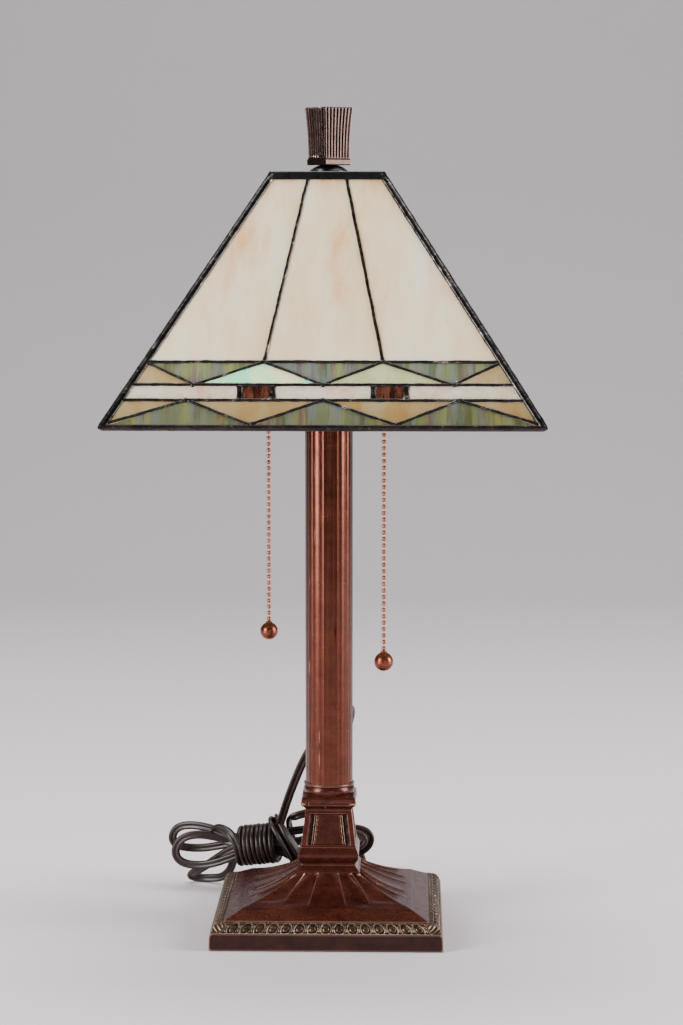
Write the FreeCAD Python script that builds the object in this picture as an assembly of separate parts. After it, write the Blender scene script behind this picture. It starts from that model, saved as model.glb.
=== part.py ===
import FreeCAD, Part
import math
import os

# Stained glass table lamp. Millimetres, +Z up, origin at the centre of the underside of the felt pad.
# The base, neck, cap and shade are square in plan. The front of the lamp faces -Y.

# ---- Driving sizes ----
# Base and neck: half-widths and heights above the table
FELT_THICK = 1.5
FELT_INSET = 2.0
BASE_HALF = 78.3
PLINTH_TOP_HALF = 77.55
PLINTH_TOP = 11.7
BAND_HALF = 67.5
BAND_TOP = 19.1
PANEL_HALF = 57.4
PANEL_EDGE = 23.75
FLARE_TOP_HALF = 22.6
FLARE_TOP = 39.2
NECK_FOOT_HALF = 18.1
NECK_FOOT = 44.5
BASE_WALL = 2.8
NECK_TORUS_HALF = 20.6
NECK_SILL = 57.7
SHAFT_BOTTOM_HALF = 18.6
SHAFT_TOP_HALF = 15.9
SHAFT_TOP = 80.8
CAPITAL_HALF = 18.4
NECK_TOP = 91.8
NECK_RECESS = 1.4
RECESS_RIM = 3.6
RECESS_RIB = 1.0
COLLAR_HALF = 17.1
COLLAR_TOP = 99.4

# Column and lamp pipe
COLUMN_RADIUS = 16.185
COLUMN_TOP = 350.0
COLUMN_BORE = 13.4
FLUTES = 32
FLUTE_DEPTH = 0.45
PIPE_RADIUS = 4.85
PIPE_BORE = 3.4
PIPE_BOTTOM = 9.4
WEIGHT_HALF = 42.0
WEIGHT_THICK = 8.5
NUT_HEX = 16.0
NUT_THICK = 3.2
WASHER_RADIUS = 16.0
WASHER_THICK = 1.6

# Cluster, riser and sockets
CLUSTER_RADIUS = 20.0
CLUSTER_HEIGHT = 19.0
CLUSTER_WALL = 1.6
COLUMN_CAP_THICK = 4.0
COVER_HEIGHT = 6.0
STUD_RADIUS = 3.1
REST_RADIUS = 12.0
REST_HEIGHT = 8.0
SOCKET_AZIMUTH = {"front": -60.5, "back": 125.0}
SOCKET_DISTANCE = 56.0
CHAIN_DISTANCE = 77.5
SOCKET_RADIUS = 14.4
SOCKET_WALL = 0.6
SOCKET_BOTTOM = 371.0
SOCKET_HEIGHT = 40.0
CAP_HEIGHT = 10.0
BULB_RADIUS = 20.0
BULB_THREAD_RADIUS = 6.8
BULB_CENTRE_ABOVE_SOCKET = 20.0
CHAIN_PIVOT = 367.0
CHAIN_TRAVEL = 5.0
BEAD_RADIUS = 1.6
BEAD_PITCH = 4.28
LINK_RADIUS = 0.45
BALL_RADIUS = 6.3
BALL_HEIGHT = 194.0

# Shade: its outer faces run from the rim up to the cap
SHADE_RIM_HALF = 141.6
SHADE_RIM = 353.8
SHADE_TOP_HALF = 37.6
SHADE_TOP = 514.6
RIM_WIDTH = 4.0
RIM_PROUD = 0.6
ROW_HEIGHTS = (394.8, 380.8, 371.4)
SEAM_THICK = 3.4
SEAM_HALF = 1.2
CORNER_SEAM = 2.4
ACCENT_HALF = 9.2
GLASS_THICK = 2.4
GLASS_RECESS = 0.5

# Cap, check ring and finial
CAP_SHEET = 0.7
CAP_PLATE = 1.2
CAP_SKIRT_BOTTOM = 510.5
CHECK_RING_RADIUS = 13.0
CHECK_RING_HEIGHT = 4.4
FINIAL_BAND_HALF = 10.4
FINIAL_WAIST_HALF = 9.75
FINIAL_TOP_HALF = 11.5
FINIAL_HEIGHT = 38.6
FINIAL_BAND_HEIGHT = 4.0
FINIAL_TURN = 39.7
INSERT_RADIUS = 5.2
STUD_LENGTH = 24.0

# Cord: a flat twin lead, its width taken as the tube's diameter
CORD_WIDTH = 5.6
WIRE_RADIUS = 2.0
CORD_HEIGHT = 6.4
EXIT_X = 24.0
BUSHING_FLANGE_RADIUS = 4.6
BUSHING_NECK_RADIUS = 3.7
BUSHING_NOSE = 20.0
CORD_BEND = 0.45
PLUG_LENGTH = 22.0
PLUG_WIDTH = 18.0
PLUG_THICK = 11.2
PLUG_NECK = 5.0
BLADE_LENGTH = 16.0
BLADE_WIDTH = 6.35
BLADE_THICK = 1.5
BLADE_SPACING = 12.7

# Named clearances
RUNNING = 0.06
LOOSE = 0.3
SNUG = 0.05
GAP = 0.4

V = FreeCAD.Vector
UP = V(0, 0, 1)
SIDES = {"front": 0, "right": 90, "back": 180, "left": 270}


# ---- Helpers ----
def outline_edges(points):
    """Edges through (x, z) points. A point (x, z, (xm, zm)) is reached by an arc through (xm, zm)."""
    edges = []
    for before, point in zip(points, points[1:]):
        start = V(before[0], 0, before[1])
        end = V(point[0], 0, point[1])
        if len(point) == 3:
            middle = V(point[2][0], 0, point[2][1])
            edges.append(Part.Arc(start, middle, end).toShape())
        else:
            edges.append(Part.LineSegment(start, end).toShape())
    return edges


def mirrored(points):
    """The outline on the other side of the Z axis, from its last point back to its first."""
    flipped = []
    arc = None
    for point in reversed(points):
        place = (-point[0], point[1])
        flipped.append(place if arc is None else place + ((-arc[0], arc[1]),))
        arc = point[2] if len(point) == 3 else None
    return flipped


def square_solid(points):
    """A solid that is square in plan. Its half-width at each height follows the outline from bottom to top."""
    left = mirrored(points)
    right = list(points)
    loop = outline_edges(right) + outline_edges([right[-1][:2], left[0]]) + outline_edges(left)
    loop += outline_edges([left[-1][:2], right[0][:2]])
    face = Part.Face(Part.Wire(Part.__sortEdges__(loop)))
    reach = 1.2 * max(point[0] for point in points)
    face.translate(V(0, -reach, 0))
    slab = face.extrude(V(0, 2 * reach, 0))
    crossing = slab.copy()
    crossing.rotate(V(), UP, 90)
    return slab.common(crossing)


def turned(points, x=0.0, y=0.0):
    """A solid of revolution about a vertical axis through (x, y). The outline's points are (radius, z)."""
    loop = outline_edges(list(points) + [points[0][:2]])
    solid = Part.Face(Part.Wire(loop)).revolve(V(), UP, 360)
    solid.translate(V(x, y, 0))
    return solid


def ring(outer, inner, bottom, top, x=0.0, y=0.0):
    return turned([(inner, bottom), (outer, bottom), (outer, top), (inner, top)], x, y)


def rod(radius, start, end):
    return Part.makeCylinder(radius, (end - start).Length, start, end - start)


def block(x0, x1, y0, y1, z0, z1):
    return Part.makeBox(x1 - x0, y1 - y0, z1 - z0, V(x0, y0, z0))


def hexagon_nut(bottom, bore):
    corner_radius = NUT_HEX / math.sqrt(3)
    angles = [math.radians(60 * i) for i in range(7)]
    corners = [V(corner_radius * math.cos(a), corner_radius * math.sin(a), bottom) for a in angles]
    body = Part.Face(Part.makePolygon(corners)).extrude(V(0, 0, NUT_THICK))
    return body.cut(Part.makeCylinder(bore, NUT_THICK, V(0, 0, bottom)))


def moved(shape, placement):
    result = shape.copy()
    result.Placement = placement.multiply(result.Placement)
    return result


def export(name, *solids):
    """Writes the solids of one named piece, or of a group of like pieces, to its own file."""
    shape = solids[0] if len(solids) == 1 else Part.makeCompound(list(solids))
    if not shape.isValid():
        print("invalid shape:", name)
    shape.exportStep(os.path.join("parts", name + ".step"))
    box = shape.BoundBox
    print(f"{name:20s} solids {len(shape.Solids):3d} volume {shape.Volume:11.1f}"
          f" z {box.ZMin:7.2f} {box.ZMax:7.2f} x {box.XMin:7.1f} {box.XMax:7.1f} y {box.YMin:7.1f} {box.YMax:7.1f}")


# ---- Base, weight and neck ----
def base_outline():
    flare_middle = (0.5 * (PANEL_HALF + FLARE_TOP_HALF) + 1.0, 0.5 * (PANEL_EDGE + FLARE_TOP) - 2.3)
    band_middle = (0.5 * (PLINTH_TOP_HALF + BAND_HALF) + 1.6, 0.5 * (PLINTH_TOP + BAND_TOP) + 1.6)
    return [
        (BASE_HALF, FELT_THICK),
        (PLINTH_TOP_HALF, PLINTH_TOP),
        (BAND_HALF, BAND_TOP, band_middle),
        (PANEL_HALF, PANEL_EDGE),
        (FLARE_TOP_HALF, FLARE_TOP, flare_middle),
        (NECK_FOOT_HALF, NECK_FOOT),
    ]


def base_cavity():
    outer = base_outline()
    inner = [(BASE_HALF - BASE_WALL, FELT_THICK)]
    for point in outer[1:-1]:
        lowered = (point[0] - BASE_WALL, point[1] - BASE_WALL)
        if len(point) == 3:
            lowered += ((point[2][0] - BASE_WALL, point[2][1] - BASE_WALL),)
        inner.append(lowered)
    return inner


def bushing_hole(radius):
    wall = PLINTH_TOP_HALF - 3 * BASE_WALL
    return rod(radius, V(EXIT_X, wall, CORD_HEIGHT), V(EXIT_X, BASE_HALF + BASE_WALL, CORD_HEIGHT))


def make_base():
    casting = square_solid(base_outline()).cut(square_solid(base_cavity()))
    casting = casting.cut(Part.makeCylinder(PIPE_RADIUS + LOOSE, NECK_FOOT, V()))
    casting = casting.cut(bushing_hole(BUSHING_NECK_RADIUS + SNUG))
    export("base_casting", casting)

    pad_half = BASE_HALF - FELT_INSET
    export("felt_pad", block(-pad_half, pad_half, -pad_half, pad_half, 0, FELT_THICK))

    weight_bottom = PIPE_BOTTOM + NUT_THICK + WASHER_THICK
    weight = block(-WEIGHT_HALF, WEIGHT_HALF, -WEIGHT_HALF, WEIGHT_HALF, weight_bottom, weight_bottom + WEIGHT_THICK)
    weight = weight.makeFillet(4, [e for e in weight.Edges if abs(e.tangentAt(e.FirstParameter).z) > 0.9])
    export("base_weight", weight.cut(Part.makeCylinder(PIPE_RADIUS + LOOSE, NECK_FOOT, V())))
    export("bottom_washer", ring(WASHER_RADIUS, PIPE_RADIUS + LOOSE, PIPE_BOTTOM + NUT_THICK, weight_bottom))


def neck_outline():
    torus_bottom = NECK_FOOT + 1.6
    torus_top = NECK_SILL - 3.4
    capital_bottom = SHAFT_TOP + 1.0
    return [
        (NECK_FOOT_HALF, NECK_FOOT),
        (NECK_FOOT_HALF, torus_bottom),
        (SHAFT_BOTTOM_HALF + 0.6, torus_top, (NECK_TORUS_HALF, torus_bottom + 3.4)),
        (SHAFT_BOTTOM_HALF + 0.5, NECK_SILL),
        (SHAFT_BOTTOM_HALF, NECK_SILL + 0.3),
        (SHAFT_TOP_HALF, SHAFT_TOP),
        (SHAFT_TOP_HALF - 0.4, capital_bottom),
        (CAPITAL_HALF - 0.3, capital_bottom + 3.2, (SHAFT_TOP_HALF + 0.4, capital_bottom + 2.3)),
        (CAPITAL_HALF, capital_bottom + 3.6),
        (CAPITAL_HALF, NECK_TOP - 2.6),
        (CAPITAL_HALF - 1.4, NECK_TOP, (CAPITAL_HALF - 0.35, NECK_TOP - 1.0)),
    ]


def recess_tool(face_depth, rim):
    """A slab just under one face of the tapered shaft, as wide as the shaft less the rim on each side."""
    low, high = NECK_SILL + 1.2, SHAFT_TOP - 0.6
    slope = (SHAFT_BOTTOM_HALF - SHAFT_TOP_HALF) / (SHAFT_TOP - NECK_SILL)
    low_half = SHAFT_BOTTOM_HALF - slope * (low - NECK_SILL)
    high_half = SHAFT_BOTTOM_HALF - slope * (high - NECK_SILL)
    corners = [
        V(rim - low_half, face_depth - low_half, low),
        V(low_half - rim, face_depth - low_half, low),
        V(high_half - rim, face_depth - high_half, high),
        V(rim - high_half, face_depth - high_half, high),
    ]
    face = Part.Face(Part.makePolygon(corners + corners[:1]))
    return face.extrude(V(0, -3 * NECK_RECESS, 0))


def make_neck():
    neck = square_solid(neck_outline())
    neck = neck.cut(Part.makeCylinder(PIPE_RADIUS + LOOSE, NECK_TOP, V()))
    tablet_rim = RECESS_RIM + 2 * RECESS_RIB
    tablet = recess_tool(NECK_RECESS, tablet_rim).cut(recess_tool(0.6 * NECK_RECESS, tablet_rim))
    recess = recess_tool(NECK_RECESS, RECESS_RIM).cut(tablet)
    for turn in SIDES.values():
        cutter = recess.copy()
        cutter.rotate(V(), UP, turn)
        neck = neck.cut(cutter)
    export("neck_casting", neck)


# ---- Column, collar and lamp pipe ----
def fluted_wire(bottom):
    """The column's section: round flutes meet at sharp arrises on the outer radius."""
    edges = []
    for i in range(FLUTES):
        angles = [2 * math.pi * (i + k / 2) / FLUTES for k in range(3)]
        radii = (COLUMN_RADIUS, COLUMN_RADIUS - FLUTE_DEPTH, COLUMN_RADIUS)
        start, middle, end = [V(r * math.cos(a), r * math.sin(a), bottom) for r, a in zip(radii, angles)]
        edges.append(Part.Arc(start, middle, end).toShape())
    return Part.Wire(edges)


def make_column():
    seat = NECK_TOP + 1.6
    lip = COLLAR_TOP - 1.2
    inner = COLUMN_RADIUS + SNUG
    export("column_collar", turned([
        (COLUMN_BORE, NECK_TOP),
        (COLLAR_HALF - 0.6, NECK_TOP),
        (COLLAR_HALF - 0.3, lip, (COLLAR_HALF + 0.4, 0.5 * (NECK_TOP + lip))),
        (COLLAR_HALF, lip + 0.4),
        (COLLAR_HALF - 0.2, COLLAR_TOP),
        (inner, COLLAR_TOP),
        (inner, seat),
        (COLUMN_BORE, seat),
    ]))
    shaft = Part.Face(fluted_wire(seat)).extrude(V(0, 0, COLUMN_TOP - seat))
    export("column_tube", shaft.cut(Part.makeCylinder(COLUMN_BORE, COLUMN_TOP, V())))

    cap_top = COLUMN_TOP + COLUMN_CAP_THICK
    bore = PIPE_RADIUS + LOOSE
    export("column_cap", turned([
        (bore, COLUMN_TOP - 3.0),
        (COLUMN_BORE - SNUG, COLUMN_TOP - 3.0),
        (COLUMN_BORE - SNUG, COLUMN_TOP),
        (COLUMN_RADIUS + 1.6, COLUMN_TOP),
        (COLUMN_RADIUS + 0.4, cap_top, (COLUMN_RADIUS + 1.9, COLUMN_TOP + 0.6 * COLUMN_CAP_THICK)),
        (bore, cap_top),
    ]))
    pipe_top = cap_top + CLUSTER_WALL + NUT_THICK + 1.0
    export("lamp_pipe", ring(PIPE_RADIUS, PIPE_BORE, PIPE_BOTTOM, pipe_top))


# ---- Cluster, riser and arms ----
CLUSTER_BOTTOM = COLUMN_TOP + COLUMN_CAP_THICK
CLUSTER_TOP = CLUSTER_BOTTOM + CLUSTER_HEIGHT
COVER_TOP = CLUSTER_TOP + COVER_HEIGHT
ARM_HEIGHT = CLUSTER_BOTTOM + 0.42 * CLUSTER_HEIGHT
REST_TOP = SHADE_TOP + LOOSE - 0.1
REST_BOTTOM = REST_TOP - REST_HEIGHT
CAP_TOP = REST_TOP + CAP_PLATE
RING_TOP = CAP_TOP + CHECK_RING_HEIGHT
FINIAL_TOP = RING_TOP + FINIAL_HEIGHT


def at_socket(shape, side):
    """Turns a shape drawn along +X to its socket's side."""
    placed = shape.copy()
    placed.rotate(V(), UP, SOCKET_AZIMUTH[side])
    return placed


def both(shape):
    return [at_socket(shape, side) for side in SOCKET_AZIMUTH]


def arm_path():
    bend = 9.0
    corner = SOCKET_DISTANCE
    start = V(CLUSTER_RADIUS - CLUSTER_WALL - 1.0, 0, ARM_HEIGHT)
    turn_in = V(corner - bend, 0, ARM_HEIGHT)
    turn_out = V(corner, 0, ARM_HEIGHT + bend)
    middle = V(corner - bend + bend * math.sin(math.pi / 4), 0, ARM_HEIGHT + bend - bend * math.cos(math.pi / 4))
    top = V(corner, 0, SOCKET_BOTTOM + 3.0)
    return Part.Wire([
        Part.LineSegment(start, turn_in).toShape(),
        Part.Arc(turn_in, middle, turn_out).toShape(),
        Part.LineSegment(turn_out, top).toShape(),
    ])


def tube_along(path, radius):
    start = path.Edges[0].valueAt(path.Edges[0].FirstParameter)
    direction = path.Edges[0].tangentAt(path.Edges[0].FirstParameter)
    section = Part.Wire(Part.makeCircle(radius, start, direction))
    return path.makePipeShell([section], True, False, 2)


def make_cluster():
    bore = PIPE_RADIUS + LOOSE
    body = turned([
        (bore, CLUSTER_BOTTOM),
        (CLUSTER_RADIUS - 3.0, CLUSTER_BOTTOM),
        (CLUSTER_RADIUS, CLUSTER_BOTTOM + 3.0, (CLUSTER_RADIUS - 0.9, CLUSTER_BOTTOM + 0.9)),
        (CLUSTER_RADIUS, CLUSTER_TOP),
        (CLUSTER_RADIUS - CLUSTER_WALL, CLUSTER_TOP),
        (CLUSTER_RADIUS - CLUSTER_WALL, CLUSTER_BOTTOM + CLUSTER_WALL + 1.4),
        (CLUSTER_RADIUS - CLUSTER_WALL - 1.4, CLUSTER_BOTTOM + CLUSTER_WALL),
        (bore, CLUSTER_BOTTOM + CLUSTER_WALL),
    ])
    arm_hole = rod(PIPE_RADIUS + SNUG, V(0, 0, ARM_HEIGHT), V(2 * CLUSTER_RADIUS, 0, ARM_HEIGHT))
    for cutter in both(arm_hole):
        body = body.cut(cutter)
    export("cluster_body", body)
    export("cluster_cover", turned([
        (PIPE_RADIUS + SNUG, CLUSTER_TOP),
        (CLUSTER_RADIUS + 0.6, CLUSTER_TOP),
        (CLUSTER_RADIUS + 0.6, CLUSTER_TOP + 1.2),
        (PIPE_RADIUS + 3.0, COVER_TOP, (0.7 * CLUSTER_RADIUS, COVER_TOP - 1.4)),
        (PIPE_RADIUS + SNUG, COVER_TOP),
    ]))
    arm = tube_along(arm_path(), PIPE_RADIUS).cut(tube_along(arm_path(), PIPE_BORE))
    export("socket_arms", *both(arm))
    nut_levels = (PIPE_BOTTOM, CLUSTER_BOTTOM + CLUSTER_WALL, CLUSTER_TOP - NUT_THICK, COVER_TOP)
    export("lock_nuts", *[hexagon_nut(level, PIPE_RADIUS + SNUG) for level in nut_levels])

    stem_bottom = CLUSTER_TOP - NUT_THICK - 2.0
    stud_top = RING_TOP + STUD_LENGTH
    export("riser_stem", turned([
        (0, stem_bottom),
        (PIPE_RADIUS, stem_bottom),
        (PIPE_RADIUS, REST_TOP - 3.0),
        (STUD_RADIUS, REST_TOP - 3.0),
        (STUD_RADIUS, stud_top - 0.8),
        (STUD_RADIUS - 0.8, stud_top),
        (0, stud_top),
    ]))
    export("shade_rest", turned([
        (PIPE_RADIUS + SNUG, REST_BOTTOM),
        (PIPE_RADIUS + 2.4, REST_BOTTOM),
        (REST_RADIUS, REST_TOP - 1.6, (PIPE_RADIUS + 3.4, REST_TOP - 3.2)),
        (REST_RADIUS, REST_TOP),
        (STUD_RADIUS + LOOSE, REST_TOP),
        (STUD_RADIUS + LOOSE, REST_TOP - 3.0 + SNUG),
        (PIPE_RADIUS + SNUG, REST_TOP - 3.0 + SNUG),
    ]))


# ---- Sockets, switches and bulbs ----
SOCKET_TOP = SOCKET_BOTTOM + SOCKET_HEIGHT
CORE_TOP = SOCKET_BOTTOM + 27.0
LEVER_HEIGHT = SOCKET_BOTTOM + 19.0
LEVER_PIVOT = SOCKET_DISTANCE + 6.0
LEVER_THICK = 1.2
LEVER_HALF = 2.6
SLOT_HALF = 1.2
PIN_RADIUS = 0.8
PIN_REACH = LEVER_HALF + 3.0
SPRING_X = LEVER_PIVOT + 4.6
SPRING_BOTTOM = SOCKET_BOTTOM + 11.0
SPRING_TURNS = 5
SPRING_RADIUS = 1.5
SPRING_WIRE = 0.3
HOOD_HALF = 4.2
HOOD_WALL = 0.8
THROAT_RADIUS = 2.9
CLASP_RADIUS = 2.2
HOOD_BOTTOM = LEVER_HEIGHT - CHAIN_TRAVEL - 2.0
HOOD_TOP = LEVER_HEIGHT + 5.6
BELL_BOTTOM = HOOD_BOTTOM - 8.0
BULB_CENTRE = SOCKET_TOP + BULB_CENTRE_ABOVE_SOCKET


def socket_axis_ring(outer, inner, bottom, top):
    return ring(outer, inner, bottom, top, SOCKET_DISTANCE)


def lever_window(margin):
    """The space in which the lever moves, with a margin all round."""
    half = LEVER_HALF + margin
    low = LEVER_HEIGHT - CHAIN_TRAVEL - margin
    return block(LEVER_PIVOT - 4.0 - margin, CHAIN_DISTANCE + 4.0, -half, half, low, LEVER_HEIGHT + 4.0 + margin)


def make_socket_shells():
    axis = SOCKET_DISTANCE
    cap_top = SOCKET_BOTTOM + CAP_HEIGHT
    cap_inner = SOCKET_RADIUS + SNUG
    cap = turned([
        (PIPE_RADIUS + SNUG, SOCKET_BOTTOM),
        (PIPE_RADIUS + 3.0, SOCKET_BOTTOM),
        (cap_inner + SOCKET_WALL, SOCKET_BOTTOM + 6.0, (cap_inner - 2.0, SOCKET_BOTTOM + 2.0)),
        (cap_inner + SOCKET_WALL, cap_top),
        (cap_inner, cap_top),
        (cap_inner, SOCKET_BOTTOM + 6.4),
        (PIPE_RADIUS + 3.0, SOCKET_BOTTOM + 1.4, (cap_inner - 2.6, SOCKET_BOTTOM + 2.8)),
        (PIPE_RADIUS + SNUG, SOCKET_BOTTOM + 1.4),
    ], axis)
    export("socket_caps", *both(cap))

    window = lever_window(0.6)
    shell = socket_axis_ring(SOCKET_RADIUS, SOCKET_RADIUS - SOCKET_WALL, SOCKET_BOTTOM + 6.5, SOCKET_TOP)
    export("socket_shells", *both(shell.cut(window)))
    liner_outer = SOCKET_RADIUS - SOCKET_WALL - SNUG
    liner = socket_axis_ring(liner_outer, liner_outer - SOCKET_WALL, SOCKET_BOTTOM + 7.5, SOCKET_TOP - 1.0)
    export("socket_liners", *both(liner.cut(window)))

    core_radius = liner_outer - SOCKET_WALL - SNUG
    thread_seat = BULB_THREAD_RADIUS + 2 * SNUG + SOCKET_WALL + SNUG
    core = turned([
        (0, SOCKET_BOTTOM + 8.0),
        (core_radius, SOCKET_BOTTOM + 8.0),
        (core_radius, CORE_TOP + 3.0),
        (thread_seat, CORE_TOP + 3.0),
        (thread_seat, CORE_TOP),
        (0, CORE_TOP),
    ], axis)
    pocket_top = CORE_TOP - 2.0
    pocket = lever_window(0.8).common(block(0, 200, -20, 20, 0, pocket_top))
    spring_well = Part.makeCylinder(2.2, 8.0, V(SPRING_X, 0, SPRING_BOTTOM))
    pin_hole = rod(PIN_RADIUS, V(LEVER_PIVOT, -PIN_REACH, LEVER_HEIGHT), V(LEVER_PIVOT, PIN_REACH, LEVER_HEIGHT))
    export("socket_cores", *both(core.cut(pocket).cut(spring_well).cut(pin_hole)))
    export("lever_pins", *both(pin_hole))

    thread = socket_axis_ring(thread_seat - SNUG, thread_seat - SNUG - SOCKET_WALL, CORE_TOP, SOCKET_TOP - 2.0)
    export("screw_shells", *both(thread))
    contact = turned([
        (0, CORE_TOP), (2.4, CORE_TOP), (2.4, CORE_TOP + 0.6), (1.2, CORE_TOP + 1.2), (0, CORE_TOP + 1.2),
    ], axis)
    export("centre_contacts", *both(contact))


def make_pull_mouths():
    """A hooded bell on each shell, open downwards, out of which the pull chain hangs."""
    shell_face = SOCKET_DISTANCE + SOCKET_RADIUS
    hood_end = CHAIN_DISTANCE + HOOD_HALF + 0.6
    outer = block(shell_face + 0.2, hood_end, -HOOD_HALF, HOOD_HALF, HOOD_BOTTOM, HOOD_TOP)
    outer = outer.makeFillet(1.2, [e for e in outer.Edges if e.BoundBox.XMin > hood_end - 0.01])
    inner = block(shell_face - 2, hood_end - HOOD_WALL, HOOD_WALL - HOOD_HALF, HOOD_HALF - HOOD_WALL,
                  HOOD_BOTTOM + HOOD_WALL, HOOD_TOP - HOOD_WALL)
    throat = THROAT_RADIUS
    bell = turned([
        (throat, HOOD_BOTTOM + 0.4),
        (throat + 1.2, HOOD_BOTTOM + 0.4),
        (throat + 1.2, HOOD_BOTTOM - 3.0),
        (throat + 2.6, BELL_BOTTOM, (throat + 1.5, BELL_BOTTOM + 2.4)),
        (throat + 1.4, BELL_BOTTOM),
        (throat, HOOD_BOTTOM - 3.0, (throat + 0.3, BELL_BOTTOM + 2.6)),
    ], CHAIN_DISTANCE)
    way = Part.makeCylinder(throat, 4.0, V(CHAIN_DISTANCE, 0, HOOD_BOTTOM - 1.0))
    mouth = outer.cut(inner).fuse(bell).cut(way).removeSplitter()
    export("pull_mouths", *both(mouth))


def lever_shape():
    half = LEVER_THICK / 2
    tail = CHAIN_DISTANCE + 2.0
    plate = block(LEVER_PIVOT - 3.0, tail, -LEVER_HALF, LEVER_HALF, LEVER_HEIGHT - half, LEVER_HEIGHT + half)
    hub = rod(PIN_RADIUS + 1.2, V(LEVER_PIVOT, -LEVER_HALF, LEVER_HEIGHT), V(LEVER_PIVOT, LEVER_HALF, LEVER_HEIGHT))
    bore = rod(PIN_RADIUS + RUNNING, V(LEVER_PIVOT, -9, LEVER_HEIGHT), V(LEVER_PIVOT, 9, LEVER_HEIGHT))
    slot = block(CHAIN_DISTANCE - SLOT_HALF - 1.4, tail + 1, -SLOT_HALF, SLOT_HALF, LEVER_HEIGHT - 2, LEVER_HEIGHT + 2)
    return plate.fuse(hub).removeSplitter().cut(bore).cut(slot)


def spring_shape():
    top = LEVER_HEIGHT - LEVER_THICK / 2 - SPRING_WIRE - 0.1
    low = SPRING_BOTTOM + SPRING_WIRE
    pitch = (top - low) / SPRING_TURNS
    helix = Part.makeHelix(pitch, top - low, SPRING_RADIUS)
    helix.translate(V(SPRING_X, 0, low))
    inner, outer = SPRING_X + SPRING_RADIUS - SPRING_WIRE, SPRING_X + SPRING_RADIUS + SPRING_WIRE
    corners = [V(x, 0, z) for x, z in ((inner, SPRING_BOTTOM), (outer, SPRING_BOTTOM),
                                       (outer, low + SPRING_WIRE), (inner, low + SPRING_WIRE))]
    section = Part.makePolygon(corners + corners[:1])
    return Part.Wire(helix.Edges).makePipeShell([section], True, True)


def bead_outline(count, top):
    """Outline points of a row of beads joined by thin links, from the first bead at the top downwards."""
    chord = math.sqrt(BEAD_RADIUS ** 2 - LINK_RADIUS ** 2)
    points = []
    for i in range(count):
        centre = top - i * BEAD_PITCH
        first = (0, centre + BEAD_RADIUS) if i == 0 else (LINK_RADIUS, centre + chord)
        last = (0, centre - BEAD_RADIUS) if i == count - 1 else (LINK_RADIUS, centre - chord)
        points.append(first)
        points.append(last + ((BEAD_RADIUS, centre),))
    return points


def beads(count, top):
    return turned(bead_outline(count, top), CHAIN_DISTANCE)


def make_switch(side):
    export(side + "_lever", at_socket(lever_shape(), side))
    export(side + "_spring", at_socket(spring_shape(), side))

    top_bead = LEVER_HEIGHT + LEVER_THICK / 2 + BEAD_RADIUS + 0.15
    last_bead = CHAIN_PIVOT + 2.6
    count = int((top_bead - last_bead) / BEAD_PITCH) + 1
    clasp_top = top_bead - (count - 1) * BEAD_PITCH
    clasp = turned([
        (0, CHAIN_PIVOT + GAP), (CLASP_RADIUS - 0.3, CHAIN_PIVOT + GAP), (CLASP_RADIUS, CHAIN_PIVOT + 1.0),
        (CLASP_RADIUS, clasp_top + 0.4), (0.5 * CLASP_RADIUS, clasp_top + 1.3), (0, clasp_top + 1.3),
    ], CHAIN_DISTANCE)
    link = beads(count, top_bead).fuse(clasp)
    export(side + "_pull_link", at_socket(link, side))

    hang = CHAIN_PIVOT - BEAD_RADIUS
    reach = hang - BALL_HEIGHT - BALL_RADIUS - 1.6
    chain_count = int(reach / BEAD_PITCH) + 1
    export(side + "_chain", at_socket(beads(chain_count, hang), side))
    tip = hang - (chain_count - 1) * BEAD_PITCH - BEAD_RADIUS
    centre = BALL_HEIGHT
    throat = 1.5
    shoulder = centre + math.sqrt(BALL_RADIUS ** 2 - throat ** 2)
    ball = turned([
        (0, tip), (throat, tip), (throat, shoulder), (0, centre - BALL_RADIUS, (BALL_RADIUS, centre)),
    ], CHAIN_DISTANCE)
    export(side + "_pull_ball", at_socket(ball, side))


def make_bulb(side):
    axis = SOCKET_DISTANCE
    neck = BULB_THREAD_RADIUS + 2.6
    meet = BULB_CENTRE - math.sqrt(BULB_RADIUS ** 2 - neck ** 2)
    base_top = SOCKET_TOP - 1.5
    glass = turned([
        (0, base_top), (BULB_THREAD_RADIUS, base_top), (neck, meet), (0, BULB_CENTRE + BULB_RADIUS,
         (BULB_RADIUS, BULB_CENTRE)),
    ], axis)
    export(side + "_bulb_glass", at_socket(glass, side))
    base_bottom = CORE_TOP + 1.5
    thread = turned([
        (0, base_bottom), (2.2, base_bottom), (BULB_THREAD_RADIUS, base_bottom + 3.0),
        (BULB_THREAD_RADIUS, base_top), (0, base_top),
    ], axis)
    export(side + "_bulb_base", at_socket(thread, side))


# ---- Shade ----
SLOPE_RUN = SHADE_RIM_HALF - SHADE_TOP_HALF
SLOPE_DROP = SHADE_TOP - SHADE_RIM
SLOPE_LENGTH = math.hypot(SLOPE_RUN, SLOPE_DROP)


def down_slope(height):
    """Distance down the shade's outer face from its top edge to a height."""
    return (SHADE_TOP - height) / SLOPE_DROP * SLOPE_LENGTH


def half_at(distance):
    return SHADE_TOP_HALF + SLOPE_RUN * distance / SLOPE_LENGTH


def face_placement():
    """Carries face coordinates (across, down the slope, out of the face) to the front side."""
    down = V(0, -SLOPE_RUN, -SLOPE_DROP) * (1 / SLOPE_LENGTH)
    across = V(-1, 0, 0)
    out = across.cross(down)
    origin = V(0, -SHADE_TOP_HALF, SHADE_TOP)
    matrix = FreeCAD.Matrix(
        across.x, down.x, out.x, origin.x,
        across.y, down.y, out.y, origin.y,
        across.z, down.z, out.z, origin.z,
        0, 0, 0, 1)
    return FreeCAD.Placement(matrix)


FACE = face_placement()


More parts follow.
